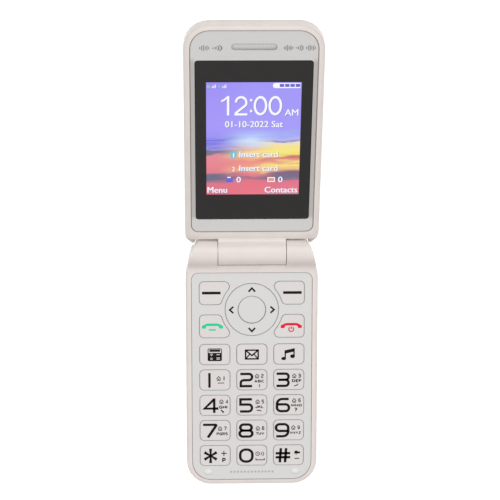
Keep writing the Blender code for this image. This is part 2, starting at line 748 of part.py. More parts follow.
# ---- Inside the base -------------------------------------------------------------------------
def make_base_insides():
    battery_low = COVER_SKIN + PIECE_GAP
    cell = box_outline(-BATTERY_W / 2, WELL_FROM_Y, BATTERY_W / 2, WELL_TO_Y, 1 * MM, steps=3)
    paint(prism("battery", cell, battery_low, BOARD_LOW - PIECE_GAP), CELL)

    contact_y = WELL_TO_Y + WELL_FIT + WELL_WALL + PIECE_GAP
    sim_y = contact_y + SIM_MARGIN
    sim_end = COVER_TOP_Y - SIM_MARGIN
    sim_low = DECK_TOP + PIECE_GAP
    paint(
        box("sim_holder", -SIM_W / 2, sim_y, sim_low, SIM_W / 2, sim_end, sim_low + 2.4 * MM), STEEL
    )
    contacts = box(
        "battery_contacts",
        BATTERY_W / 2 - 10 * MM,
        WELL_FROM_Y - WELL_FIT - WELL_WALL - PIECE_GAP - 2 * MM,
        DECK_TOP + PIECE_GAP,
        BATTERY_W / 2,
        WELL_FROM_Y - WELL_FIT - WELL_WALL - PIECE_GAP,
        BOARD_LOW - PIECE_GAP,
    )
    paint(contacts, DARK)

    speaker_low = COVER_SKIN + 0.4 * MM + PIECE_GAP
    x, y = SPEAKER_W / 2, SPEAKER_L / 2
    cone = loft(
        "loudspeaker",
        edge_rounded(box_outline(-x, -y, x, y, 3 * MM), 0, 3.2 * MM, 0.5 * MM, 0),
        at=(0, SPEAKER_Y, speaker_low),
    )
    paint(cone, DARK)

    usb_at = (0, END_Y + 0.6 * MM, USB_LOW)
    usb = box("usb_socket", -USB_W / 2, 0, 0, USB_W / 2, USB_L, USB_H, at=usb_at)
    mouth = box(
        "usb_mouth_tool", -3.4 * MM, -1 * MM, 0.4 * MM, 3.4 * MM, 3.5 * MM, 2.2 * MM, at=usb_at
    )
    paint(cut(usb, mouth), STEEL)

    port_y = CAVITY_END_Y + 5.5 * MM
    motor_z = DECK_TOP + PIECE_GAP + 1.5 * MM
    motor = rod_x("vibration_motor", 1.5 * MM, 0, 9 * MM, at=(-16 * MM, port_y, motor_z), steps=20)
    paint(motor, STEEL)
    mic_at = (9 * MM, port_y - 2 * MM, DECK_TOP + PIECE_GAP)
    mic = prism("microphone", circle(2 * MM, 20), 0, 1.5 * MM, at=mic_at)
    paint(mic, STEEL)
    for i, (x, y) in enumerate(screw_places(), 1):
        make_screw(f"base_screw_{i}", x, y)


def make_screw(name, x, y):
    """Cross-head screw, driven up from under the battery cover."""
    head_low = DECK_LOW + 0.1 * MM
    screw_top = MAT_LOW - 1 * MM
    head = circle(SCREW_HEAD_R, 14)
    shank = circle(SCREW_R - 0.05 * MM, 14)
    body = loft(
        name,
        [
            (shrunk(head, 0.3 * MM), 0),
            (head, 0.3 * MM),
            (head, SCREW_HEAD),
            (shank, SCREW_HEAD),
            (shank, screw_top - head_low),
        ],
        at=(x, y, head_low),
    )
    arm, deep = 1.1 * MM, 0.5 * MM
    for turn, (w, l) in enumerate(((arm, 0.25 * MM), (0.25 * MM, arm))):
        cut(body, box(f"{name}_cross_tool_{turn}", -w, -l, -1 * MM, w, l, deep, at=(x, y, head_low)))
    return paint(body, STEEL)


# ---- Lid -------------------------------------------------------------------------------------
def neck_profile():
    """(y, z) section of the barrel and of the neck that joins it to the lid's inner shell."""
    fillet_z = LID_FACE + NECK_FILLET
    fillet_y = math.sqrt((HINGE_R + NECK_FILLET) ** 2 - fillet_z**2)
    touch = math.degrees(math.atan2(fillet_z, fillet_y))
    barrel = arc((0, 0), HINGE_R, touch, 270, 26)
    fillet = arc((fillet_y, fillet_z), NECK_FILLET, 270, 180 + touch)
    inner_y = LID_START + 1.6 * MM
    back = LID_FACE - LID_SPLIT
    tongue_y = LID_START - SEAM
    return (
        barrel
        + [(tongue_y, -HINGE_R), (tongue_y, back + 0.3 * MM), (inner_y, back + 0.3 * MM)]
        + [(inner_y, LID_FACE - EDGE_ROUND - 0.1 * MM), (fillet_y, LID_FACE)]
        + fillet[1:-1]
    )


def make_lid_inner(axis):
    back = LID_FACE - LID_SPLIT
    body = loft(
        "lid_inner_housing", edge_rounded(lid_outline(), back, LID_FACE, 0, EDGE_ROUND), axis
    )
    half = BARREL_LEN / 2
    join(body, prism_x("neck_tool", neck_profile(), -half, half, axis))
    hollow_from = LID_START + RIM_HINGE - 1 * MM
    hollow = box_outline(
        -CAVITY_HALF, hollow_from, CAVITY_HALF, REACH - WALL, 2 * MM, END_CORNER - WALL
    )
    seat = LID_FACE - PANEL_SINK - PANEL_THICK - PIECE_GAP / 2
    cut(
        body,
        prism("lid_hollow_tool", hollow, -2 * LID_THICK, seat - LEDGE_THICK, axis),
        prism("lid_panel_seat_tool", lid_panel_outline(LID_PANEL_FIT), seat, LID_THICK, axis),
        prism("lid_window_tool", lid_panel_outline(-LEDGE), -2 * LID_THICK, LID_THICK, axis),
        rod_x("barrel_bore_tool", BORE_R, -half - 1 * MM, half + 1 * MM, axis),
        box(
            "lid_cable_slot_tool",
            -8 * MM,
            BORE_R - 0.6 * MM,
            -2.2 * MM,
            -4 * MM,
            hollow_from + 1 * MM,
            -1.2 * MM - 0.2 * MM,
            axis,
        ),
    )
    return paint(body, WHITE)


def make_lid_outer(axis):
    top = LID_FACE - LID_SPLIT - SEAM
    body = loft(
        "lid_outer_cover", edge_rounded(lid_outline(), LID_BACK, top, BACK_ROUND, 0), axis
    )
    hollow = box_outline(
        -CAVITY_HALF,
        LID_START + WALL,
        CAVITY_HALF,
        REACH - WALL,
        LID_HINGE_CORNER - WALL,
        END_CORNER - WALL,
    )
    camera_hole = circle(CAMERA_R + PIECE_GAP / 2, 32, (0, REACH - CAMERA_FROM_END))
    cut(
        body,
        prism("outer_hollow_tool", hollow, LID_BACK + COVER_SKIN, LID_THICK, axis),
        prism("camera_hole_tool", camera_hole, 2 * LID_BACK, 0, axis),
    )
    corner_top = min(top - 0.1 * MM, -CORNER_DEPTH)
    for side, name in ((-1, "left"), (1, "right")):
        outline = lid_corner(side)
        low = LID_BACK + BACK_ROUND / 2
        sections = [(outline, low), (outline, corner_top - 0.7 * MM)]
        sections.append((shrunk(outline, 0.3 * MM), corner_top))
        tool = loft(f"corner_{name}_tool", sections, axis)
        join(body, tool)
    return paint(body, WHITE)


def lid_corner(side):
    """Hook at the lid cover's corner beside an ear."""
    outer, inner, far = WIDTH / 2 - 0.05 * MM, CORNER_X, LID_START + 1.2 * MM
    right = [
        (inner, far, 0.6 * MM),
        (inner, CORNER_REACH, 0.8 * MM),
        (outer, CORNER_REACH + 3.2 * MM, 2.2 * MM),
        (outer, far, 0.6 * MM),
    ]
    if side > 0:
        return rounded(right, 3)
    return rounded([(-x, y, radius) for x, y, radius in reversed(right)], 3)


def make_lid_front(axis):
    top = LID_FACE - PANEL_SINK
    low = top - PANEL_THICK
    glass_to = GLASS_FROM + GLASS_H
    slot_y = glass_to + EARPIECE_DROP
    glass = box_outline(-GLASS_W / 2, GLASS_FROM, GLASS_W / 2, glass_to, 1 * MM, steps=4)
    x, y = EARPIECE_SLOT_W / 2, EARPIECE_SLOT_H / 2
    slot = box_outline(-x, slot_y - y, x, slot_y + y, y * 0.99)
    panel = prism("lid_panel", lid_panel_outline(), low, top, axis)
    cut(
        panel,
        prism("glass_room_tool", shrunk(glass, -PANEL_FIT), -LID_THICK, LID_THICK, axis),
        prism("earpiece_slot_tool", slot, -LID_THICK, LID_THICK, axis),
    )
    paint(panel, SILVER)
    paint(prism("screen_window", glass, low, top - 0.05 * MM, axis), BLACK_GLASS)
    grille = shrunk(slot, 0.1 * MM)
    sections = [(grille, low), (grille, top - 0.3 * MM), (shrunk(grille, 0.3 * MM), top - 0.15 * MM)]
    paint(loft("earpiece_grille", sections, axis), STEEL)
    return slot_y, low


DISPLAY_BORDER = 3.0 * MM  # panel glass beyond the lit area, and below it for the driver chip
DISPLAY_FOOT = 8.3 * MM
DISPLAY_THICK = 1.2 * MM
TRAY_THICK = 1.2 * MM


def make_lid_insides(axis, slot_y, panel_low):
    lit_from = GLASS_FROM + GLASS_LOW
    x = DISPLAY_W / 2 + DISPLAY_BORDER
    low_y = lit_from - DISPLAY_FOOT
    high_y = lit_from + DISPLAY_H + DISPLAY_BORDER
    display_top = panel_low - PIECE_GAP
    display_low = display_top - DISPLAY_THICK
    tray_top = display_low - 0.1 * MM
    paint(box("display_panel", -x, low_y, display_low, x, high_y, display_top, axis), LIT)
    tray_low = tray_top - TRAY_THICK
    paint(box("display_tray", -x, low_y, tray_low, x, high_y, tray_top, axis), STEEL)

    board_top = LID_FACE - LID_SPLIT - PIECE_GAP - 0.1 * MM
    board_low = board_top - BOARD_THICK
    board_x = CAVITY_HALF - 4 * MM
    camera_y = REACH - CAMERA_FROM_END
    board = box("lid_board", -board_x, low_y, board_low, board_x, REACH - 7 * MM, board_top, axis)
    paint(board, BOARD)

    capsule = box_outline(-7.5 * MM, -3 * MM, 7.5 * MM, 3 * MM, 2 * MM, steps=4)
    earpiece = prism("earpiece", capsule, -2.3 * MM, 0, axis, (0, slot_y, display_top))
    paint(earpiece, DARK)
    magnet_y = PANEL_TO - 4 * MM
    magnet_at = (15 * MM, magnet_y, display_top)
    magnet = box(
        "lid_magnet", -3 * MM, -1.5 * MM, -1.2 * MM, 3 * MM, 1.5 * MM, 0, axis, magnet_at
    )
    paint(magnet, STEEL)

    side = 4.2 * MM
    module_low = board_low - PIECE_GAP
    foot = box_outline(-side, camera_y - side, side, camera_y + side)
    camera = prism("lid_camera", foot, module_low - 0.5 * MM, module_low, axis)
    lens = circle(CAMERA_R, 32, (0, camera_y))
    lens_low = LID_BACK + 0.15 * MM
    barrel = prism("camera_barrel_tool", lens, lens_low, module_low - 0.2 * MM, axis)
    paint(join(camera, barrel), DARK)


# ---- Hinge -----------------------------------------------------------------------------------
CAN_R = 3.2 * MM
CAN_WALL = 0.6 * MM
CAN_FROM = 1.0 * MM
SPRING_TURNS = 4
SPRING_R = 1.75 * MM
SPRING_WIRE = 0.35 * MM
SPRING_FROM = 2.0 * MM
SPRING_LEN = 4.6 * MM
FOLLOWER_LEN = 2.2 * MM
SLEEVE_IN = 2.3 * MM


def make_hinge(axis):
    """Spring-and-cam cartridge on the right, hollow sleeve for the cable on the left."""
    half = BARREL_LEN / 2
    can = rod_x("hinge_can", CAN_R, CAN_FROM, half - PIECE_GAP, axis)
    cut(can, rod_x("can_bore_tool", CAN_R - CAN_WALL, CAN_FROM + 0.7 * MM, half + 1 * MM, axis))
    paint(can, STEEL)
    make_spring(axis)
    disc_r = CAN_R - CAN_WALL - 0.15 * MM
    follower_from = SPRING_FROM + SPRING_LEN + 2 * SPRING_WIRE + PIECE_GAP
    follower_to = follower_from + FOLLOWER_LEN
    paint(rod_x("hinge_follower", disc_r, follower_from, follower_to, axis, steps=24), STEEL)
    at = (0, AXIS_Y, AXIS_Z)
    cam = rod_x("hinge_cam", disc_r, follower_to + PIECE_GAP, half - 2 * PIECE_GAP, at=at, steps=24)
    key = 2.0 * MM
    shank_from, shank_to = half - 1.5 * MM, EAR_BORE_END - 2 * MM
    shank = rod_x("cam_shank_tool", 1.5 * MM, shank_from, shank_to, at=at, steps=20)
    head_y = box_outline(-key, -key, key, key, 0.5 * MM, steps=3)
    head_from, head_to = half + BARREL_SIDE_GAP + PIECE_GAP, EAR_BORE_END - PIECE_GAP
    head = prism_x("cam_head_tool", head_y, head_from, head_to, at=at)
    paint(join(cam, shank, head), STEEL)

    sleeve_from, sleeve_to = -EAR_BORE_END + PIECE_GAP, -half + 4 * MM
    sleeve = rod_x("hinge_sleeve", BORE_R - 0.2 * MM, sleeve_from, sleeve_to, at=at)
    cut(sleeve, rod_x("sleeve_bore_tool", SLEEVE_IN, -EAR_BORE_END - 1 * MM, 0, at=at, steps=28))
    paint(sleeve, STEEL)
    make_flex(axis)


def make_spring(axis):
    """Compression spring: a round wire swept along a helix about X."""
    steps_per_turn, sides = 10, 6
    total = int(SPRING_TURNS * steps_per_turn)
    curve = bpy.data.curves.new("hinge_spring", "CURVE")
    curve.dimensions = "3D"
    curve.bevel_depth = SPRING_WIRE
    curve.bevel_resolution = (sides - 4) // 2
    curve.use_fill_caps = True
    line = curve.splines.new("POLY")
    line.points.add(total)
    for i, point in enumerate(line.points):
        angle = math.tau * i / steps_per_turn
        x = SPRING_FROM + SPRING_WIRE + SPRING_LEN * i / total
        point.co = (x, SPRING_R * math.cos(angle), SPRING_R * math.sin(angle), 1)
    spring = link("hinge_spring", curve, axis)
    material = bpy.data.materials.new("hinge_spring_finish")
    material.use_nodes = True
    shader = material.node_tree.nodes["Principled BSDF"]
    shader.inputs["Metallic"].default_value = 1
    shader.inputs["Roughness"].default_value = 0.3
    curve.materials.append(material)
    return spring


def make_flex(axis):
    """Flexible circuit wound loosely in the barrel, as a spiral strip."""
    turns, steps, thick = 1.6, 26, 0.25 * MM
    outer_r, inner_r = 2.9 * MM, 1.5 * MM
    outer, inner = [], []
    for i in range(steps + 1):
        angle = math.tau * turns * i / steps
        radius = outer_r + (inner_r - outer_r) * i / steps
        outer.append((radius * math.cos(angle), radius * math.sin(angle)))
        inner.append(((radius - thick) * math.cos(angle), (radius - thick) * math.sin(angle)))
    profile = outer + list(reversed(inner))
    strip_from, strip_to = -BARREL_LEN / 2 + 4.5 * MM, CAN_FROM - 1 * MM
    return paint(prism_x("flex_cable", profile, strip_from, strip_to, axis), FILM)


# ---- The phone -------------------------------------------------------------------------------
def main():
    for thing in list(bpy.data.objects):
        bpy.data.objects.remove(thing)
    make_front_housing()
    make_rear_housing()
    make_battery_cover()
    make_keypad_panel()
    make_keys()
    make_key_stack()
    make_base_insides()
    axis = link("lid_axis", None, at=(0, AXIS_Y, AXIS_Z))
    axis.rotation_euler = (math.pi - OPEN_ANGLE, 0, 0)
    make_lid_inner(axis)
    make_lid_outer(axis)
    slot_y, panel_low = make_lid_front(axis)
    make_lid_insides(axis, slot_y, panel_low)
    make_hinge(axis)


main()
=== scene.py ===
# %% [markdown]
# # A folding telephone with large keys
# The telephone is open and lies on its back. Two halves of lacquered white plastic are joined by
# a barrel hinge. One holds a colour display under a black-edged window, the other a keypad of
# separate caps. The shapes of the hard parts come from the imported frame. This file gives them
# their edges and finishes, and adds what is printed, lit or too fine for the frame.

# %% Load the frame
import json
import math

import bmesh
import bpy
from mathutils import Matrix, Vector


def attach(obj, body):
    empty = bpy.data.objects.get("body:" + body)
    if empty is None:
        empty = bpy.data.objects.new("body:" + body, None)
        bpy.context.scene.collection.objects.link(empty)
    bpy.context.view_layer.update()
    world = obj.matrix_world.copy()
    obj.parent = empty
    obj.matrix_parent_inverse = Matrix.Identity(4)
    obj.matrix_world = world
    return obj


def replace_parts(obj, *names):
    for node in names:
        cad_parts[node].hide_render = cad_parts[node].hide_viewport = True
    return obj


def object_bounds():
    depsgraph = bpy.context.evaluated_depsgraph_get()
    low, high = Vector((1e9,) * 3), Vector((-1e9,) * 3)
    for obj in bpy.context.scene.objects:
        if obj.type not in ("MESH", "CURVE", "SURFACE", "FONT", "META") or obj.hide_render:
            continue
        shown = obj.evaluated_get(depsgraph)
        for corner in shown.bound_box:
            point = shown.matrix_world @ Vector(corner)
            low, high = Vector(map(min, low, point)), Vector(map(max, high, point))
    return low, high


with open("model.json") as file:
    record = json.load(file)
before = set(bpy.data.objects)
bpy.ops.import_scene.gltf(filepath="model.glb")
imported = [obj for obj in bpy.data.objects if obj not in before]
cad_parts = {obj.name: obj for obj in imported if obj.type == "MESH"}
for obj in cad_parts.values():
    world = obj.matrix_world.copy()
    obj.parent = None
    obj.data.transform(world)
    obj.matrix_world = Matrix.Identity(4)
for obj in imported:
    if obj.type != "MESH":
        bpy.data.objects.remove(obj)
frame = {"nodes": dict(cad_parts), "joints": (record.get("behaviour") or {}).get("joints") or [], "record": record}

cad_low, cad_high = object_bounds()
MM = 0.001
print("frame box in mm:", [round(side / MM, 1) for side in cad_high - cad_low])

# %% [markdown]
# ## Places
# Everything that is added is measured from the frame. The base lies flat, so its pieces use the
# frame's own axes. The lid leans back by 20 degrees about the hinge, so its pieces are made in
# the lid's own axes: Y runs up the lid and Z comes out of the display. One matrix then puts them
# in place, which is easier to read than tilting each number.

# %% Where the hinge is, and the lid's axes
hinge = next(joint for joint in frame["joints"] if joint["name"] == "lid_hinge")
HINGE_AT = Vector(hinge["pos_m"])
LID_LEAN = math.radians(20)
LID_PLACE = Matrix.Translation(HINGE_AT) @ Matrix.Rotation(LID_LEAN, 4, "X")
FLAT = Matrix.Identity(4)


def extent(node, place=FLAT):
    """Lowest and highest corner of a frame part, in the axes that a matrix gives."""
    back = place.inverted()
    points = [back @ corner.co for corner in frame["nodes"][node].data.vertices]
    low = Vector(min(point[i] for point in points) for i in range(3))
    high = Vector(max(point[i] for point in points) for i in range(3))
    return low, high


def middle(node, place=FLAT):
    low, high = extent(node, place)
    return (low + high) / 2


window_low, window_high = extent("screen_window", LID_PLACE)
print("window in mm:", [round(side / MM, 2) for side in window_high - window_low])

# %% [markdown]
# ## Camera
# The camera looks down on the telephone from 0.65 m with a long lens, so that the two halves keep
# nearly the same scale. It leans 11 degrees from the vertical, towards the keypad's end. Its
# place is given from the hinge, because that is where the two halves meet.

# %% Camera
camera_data = bpy.data.cameras.new("studio_camera")
camera = bpy.data.objects.new("studio_camera", camera_data)
bpy.context.scene.collection.objects.link(camera)
bpy.context.scene.camera = camera

LEAN, TURN, ROLL = 0.19024, 0.02945, 0.00581  # radians
STAND_OFF = Vector((0.762, -0.868, -651.513)) * MM
RIM_BELOW_AXIS = 0.3 * MM
rim_at_hinge = HINGE_AT - Vector((0, 0, RIM_BELOW_AXIS))
look = Matrix.Rotation(ROLL, 4, "Z") @ Matrix.Rotation(TURN, 4, "Y") @ Matrix.Rotation(LEAN, 4, "X")
seen_from = Matrix.Translation(STAND_OFF) @ look @ Matrix.Translation(-rim_at_hinge)
camera.matrix_world = seen_from.inverted()
camera_data.sensor_width = 36
camera_data.lens = 115.2
camera_data.clip_start, camera_data.clip_end = 0.01, 20
print("camera at", [round(value, 3) for value in camera.matrix_world.translation])

# %% [markdown]
# ## Nodes and colours
# Every finish below is a small graph of shader nodes. One function adds a node with its settings
# and links, so that each finish reads from the pattern to the surface. Colours are written as
# sRGB hex values, the way a paint chart gives them, and one function turns them to linear light.

# %% Colour
bpy.context.scene.view_settings.view_transform = "Standard"


def rgb(code):
    """A linear colour from an sRGB hex value."""
    channels = [int(code[i : i + 2], 16) / 255 for i in (1, 3, 5)]
    linear = [c / 12.92 if c <= 0.04045 else ((c + 0.055) / 1.055) ** 2.4 for c in channels]
    return (*linear, 1)


# %% Adding a node, and starting a material


def add(tree, kind, settings=(), **inputs):
    """Adds a node. Settings are its own fields, and an input is a value or a socket to link."""
    node = tree.nodes.new(f"ShaderNode{kind}")
    for field, value in dict(settings).items():
        setattr(node, field, value)
    for name, value in inputs.items():
        key = int(name[1:]) if name[1:].isdigit() else name.replace("_", " ")
        socket = node.inputs[key]
        if isinstance(value, bpy.types.NodeSocket):
            tree.links.new(value, socket)
        else:
            socket.default_value = value
    return node


def start(name, **values):
    """A material with its shader. Values that are the same all over go on the shader's sockets."""
    material = bpy.data.materials.new(name)
    material.use_nodes = True
    tree = material.node_tree
    shader = tree.nodes["Principled BSDF"]
    for key, value in values.items():
        shader.inputs[key.replace("_", " ")].default_value = value
    return material, tree, shader


# %% Patterns and tints


def speckle(tree, size, detail=2.0):
    """Noise whose features are this many metres across, fixed to the piece."""
    where = add(tree, "TexCoord").outputs["Object"]
    return add(tree, "TexNoise", Vector=where, Scale=1 / size, Detail=detail).outputs["Fac"]


def between(tree, pattern, dark, light, low=0.35, high=0.65):
    """A colour that goes from one hex value to another as the pattern goes from low to high."""
    ramp = add(tree, "ValToRGB", Fac=pattern)
    stops = ramp.color_ramp.elements
    stops[0].position, stops[0].color = low, rgb(dark)
    stops[1].position, stops[1].color = high, rgb(light)
    return ramp.outputs["Color"]


def tint(tree, shader, pattern, dark, light, low=0.35, high=0.65):
    """Colours the surface by a pattern."""
    colour = between(tree, pattern, dark, light, low, high)
    tree.links.new(colour, shader.inputs["Base Color"])


def blended(tree, share, first, second):
    """The first colour where the share is 0, and the second where it is 1."""
    return add(tree, "Mix", {"data_type": "RGBA"}, _0=share, _6=first, _7=second).outputs[2]


def ease(tree, value, start_at, end_at):
    """Goes smoothly from 0 to 1 between two values."""
    smooth = {"interpolation_type": "SMOOTHSTEP"}
    eased = add(tree, "MapRange", smooth, Value=value, From_Min=start_at, From_Max=end_at)
    return eased.outputs["Result"]


def calculate(tree, operation, *values):
    inputs = {f"_{i}": value for i, value in enumerate(values)}
    return add(tree, "Math", {"operation": operation}, **inputs).outputs[0]


# %% Bump and roughness


def emboss(tree, shader, height, depth):
    """Bump of this depth in metres."""
    bump = add(tree, "Bump", Height=height, Distance=depth, Strength=1.0)
    tree.links.new(bump.outputs["Normal"], shader.inputs["Normal"])


def roughen(tree, shader, pattern, low, high):
    """Lets a pattern vary the roughness between two values."""
    spread = add(tree, "MapRange", Value=pattern, To_Min=low, To_Max=high)
    tree.links.new(spread.outputs["Result"], shader.inputs["Roughness"])


# %% [markdown]
# ## White lacquer
# The shells are injection-moulded ABS, sprayed with a warm white lacquer that has a little pearl
# pigment. The colour could be one value, but then large faces look dead. Real lacquer drifts
# slightly in tone over a few millimetres, and its surface has a faint orange peel about 1.5 mm
# across. A second, clear coat gives the soft highlight on the rounded rims.

# %% Pearl lacquer on moulded ABS


def pearl_lacquer():
    material, tree, shader = start(
        "pearl_lacquer_on_abs", IOR=1.5, Coat_Weight=0.35, Coat_Roughness=0.12
    )
    tone = speckle(tree, 6 * MM)
    tint(tree, shader, tone, "#e5dbd6", "#e8dfd9")
    roughen(tree, shader, tone, 0.34, 0.42)
    emboss(tree, shader, speckle(tree, 1.5 * MM), 0.002 * MM)
    return material


PEARL = pearl_lacquer()

# %% [markdown]
# ## Satin silver-grey paint
# The two panels, the ring and the key in its middle are painted a neutral silver grey. Fine
# aluminium flake in the paint makes it slightly metallic and breaks up the highlight. The flake is
# some 0.03 mm across, too fine to show, so the speckle is drawn at 0.25 mm and kept very weak.

# %% Satin flake paint


FLAKE = 0.25 * MM


def flake_paint(name, dark, light, roughness):
    material, tree, shader = start(name, IOR=1.5, Metallic=0.08)
    flake = speckle(tree, FLAKE, 1.0)
    tint(tree, shader, flake, dark, light)
    roughen(tree, shader, flake, roughness - 0.05, roughness + 0.05)
    emboss(tree, shader, flake, 0.002 * MM)
    return material


PANEL_PAINT = flake_paint("satin_silver_paint_on_abs", "#d9d8d6", "#dddcda", 0.42)
# The lid's copy is the same paint made a shade darker all over, as painted shade.
SHADED_LID_PAINT = flake_paint("satin_silver_paint_shaded_on_lid", "#d5d3d1", "#d9d7d5", 0.42)

# %% [markdown]
# Beside the window the lid's panel is only a strip 1.7 mm wide, which slopes to the rim and so
# looks a shade darker than the rest. The slope is too shallow to model on a flat part. The paint
# is darkened there instead, as painted shade, with ends that fade over 3 mm.

# %% Painted shade on the strips beside the window


def shade_beside_window(material):
    tree = material.node_tree
    shader = tree.nodes["Principled BSDF"]
    paint = shader.inputs["Base Color"].links[0].from_socket
    low, high = extent("screen_window")
    where = add(tree, "SeparateXYZ", Vector=add(tree, "TexCoord").outputs["Object"])
    aside = calculate(tree, "ABSOLUTE", where.outputs["X"])
    beside = ease(tree, aside, high.x, high.x + 0.4 * MM)
    above_foot = ease(tree, where.outputs["Y"], low.y - 1 * MM, low.y + 2 * MM)
    below_head = ease(tree, where.outputs["Y"], high.y + 1.5 * MM, high.y - 1.5 * MM)
    strip = calculate(tree, "MULTIPLY", calculate(tree, "MULTIPLY", beside, above_foot), below_head)
    # Painted shade: a darker copy of the flake paint on the strips.
    darker = between(tree, speckle(tree, FLAKE, 1.0), "#b9b5b2", "#bfbbb8")
    tree.links.new(blended(tree, strip, paint, darker), shader.inputs["Base Color"])


shade_beside_window(SHADED_LID_PAINT)

# %% [markdown]
# ## Key plastic
# The caps are moulded polycarbonate, tinted warm grey through and left as they come from a
# fine-etched mould. That gives a satin surface with hardly any texture: a 0.4 mm grain, a few
# thousandths of a millimetre deep, and roughness near 0.37.

# %% Etched polycarbonate


def key_plastic():
    material, tree, shader = start("etched_polycarbonate", IOR=1.58)
    grain = speckle(tree, 0.4 * MM)
    tint(tree, shader, grain, "#dcd7d4", "#e1dcd9")
    roughen(tree, shader, grain, 0.32, 0.42)
    emboss(tree, shader, grain, 0.003 * MM)
    return material


KEY_PLASTIC = key_plastic()

# %% [markdown]
# ## Window
# The window is clear acrylic, printed black behind except over the display. From the front the
# print looks like one deep, even black under a polished surface. The polish has a very slight
# waviness, some 8 mm across, from moulding. Its reflection of the room lifts the black a little.

# %% Back-printed acrylic


def printed_acrylic():
    material, tree, shader = start("back_printed_acrylic", IOR=1.49)
    print_tone = speckle(tree, 3 * MM)
    tint(tree, shader, print_tone, "#0b0604", "#100b09")
    roughen(tree, shader, print_tone, 0.06, 0.1)
    emboss(tree, shader, speckle(tree, 8 * MM, 0.0), 0.002 * MM)
    return material


BLACK_ACRYLIC = printed_acrylic()

# %% [markdown]
# ## Soft and dark parts
# The bumpers, the mat under the keys and the rocker are moulded silicone: matt, with a dusty
# sheen. The ear capsule, the camera's body and the loudspeaker are black glass-filled nylon,
# moulded in a spark-eroded tool, which leaves a fine even grain.

# %% Silicone and glass-filled nylon


def moulded(name, dark, light, roughness, grain_size, **values):
    """Plastic or rubber that keeps its mould's grain."""
    material, tree, shader = start(name, **values)
    grain = speckle(tree, grain_size)
    tint(tree, shader, grain, dark, light)
    roughen(tree, shader, grain, roughness - 0.08, roughness + 0.08)
    emboss(tree, shader, grain, 0.02 * grain_size)
    return material


SILICONE = moulded(
    "moulded_silicone", "#cfcdca", "#d8d6d3", 0.65, 0.5 * MM, IOR=1.41, Sheen_Weight=0.2
)
NYLON = moulded("glass_filled_nylon", "#1b1b1d", "#252527", 0.5, 0.3 * MM, IOR=1.53)

# %% [markdown]
# ## Metals
# Screws and hinge parts are turned steel, and the sockets, cans and trays are stamped from
# stainless sheet. Rolling leaves fine lines in one direction in the sheet. They are drawn 0.15 mm
# apart, as stretched noise, because real ones are too fine to show. A metal keeps the default IOR.

# %% Stamped stainless sheet


def stainless():
    material, tree, shader = start("stamped_stainless_steel", Metallic=1.0)
    where = add(tree, "TexCoord").outputs["Object"]
    drawn_out = add(tree, "Mapping", Vector=where, Scale=(1.0, 12.0, 12.0)).outputs["Vector"]
    lines = add(tree, "TexNoise", Vector=drawn_out, Scale=1 / (1.8 * MM), Detail=2.0).outputs["Fac"]
    tint(tree, shader, lines, "#b2b3b4", "#c6c7c8")
    roughen(tree, shader, lines, 0.24, 0.36)
    emboss(tree, shader, lines, 0.002 * MM)
    return material


STEEL = stainless()

# %% [markdown]
# ## Parts that are seen only when the telephone is taken apart
# The circuit boards are glass laminate under green solder mask. The laminate's weave shows
# faintly through it, and is drawn 1.2 mm apart, about twice as coarse as a real one. The battery
# has a smooth printed wrap. The hinge's flexible circuit is amber polyimide.

# %% Solder mask, battery wrap and polyimide film


def solder_mask():
    material, tree, shader = start("solder_mask_on_laminate", IOR=1.55)
    where = add(tree, "TexCoord").outputs["Object"]
    weave = add(tree, "TexWave", Vector=where, Scale=1 / (3.8 * MM), Distortion=1.0).outputs["Fac"]
    tint(tree, shader, weave, "#1d5537", "#246341", 0.2, 0.8)
    roughen(tree, shader, weave, 0.35, 0.45)
    emboss(tree, shader, weave, 0.01 * MM)
    return material


SOLDER_MASK = solder_mask()
WRAP = moulded("printed_battery_wrap", "#dadcdf", "#e3e5e8", 0.4, 2 * MM, IOR=1.5)
FILM = moulded("polyimide_film", "#ad6c22", "#bd7c2e", 0.3, 1 * MM, IOR=1.7)

# %% [markdown]
# ## Finishes and edges on the frame's parts
# The frame's parts have flat facets and knife edges. A real moulding has a small radius on every
# edge, which catches a thin line of light and is what makes plastic look moulded. Remodelling
# each part would change its size, so the meshes stay and modifiers do the work: one welds the
# facets into a single surface, and one rounds the edges by a tenth of a millimetre and bends the
# shading only there, so that curves look smooth and flats stay flat.

# %% Edge radii and finish of every frame part
EDGE_ANGLE = math.radians(28)
PLAIN_EDGES = ("keypad_panel",)  # its cut-outs end in slivers, which a bevel would fold over


def soften(part, radius):
    """Welds, rounds the sharp edges and smooths the shading of one frame part."""
    for custom in ("custom_normal", "sharp_edge"):
        found = part.data.attributes.get(custom)
        if found:
            part.data.attributes.remove(found)
    part.data.polygons.foreach_set("use_smooth", [True] * len(part.data.polygons))
    weld = part.modifiers.new("weld", "WELD")
    weld.merge_threshold = 0.002 * MM
    if radius:
        edge = part.modifiers.new("edge_radius", "BEVEL")
        edge.width = radius
        edge.segments = 2
        edge.limit_method = "ANGLE"
        edge.angle_limit = EDGE_ANGLE
        edge.use_clamp_overlap = True
        edge.harden_normals = True
    else:
        split = part.modifiers.new("sharp_edges", "EDGE_SPLIT")
        split.split_angle = EDGE_ANGLE


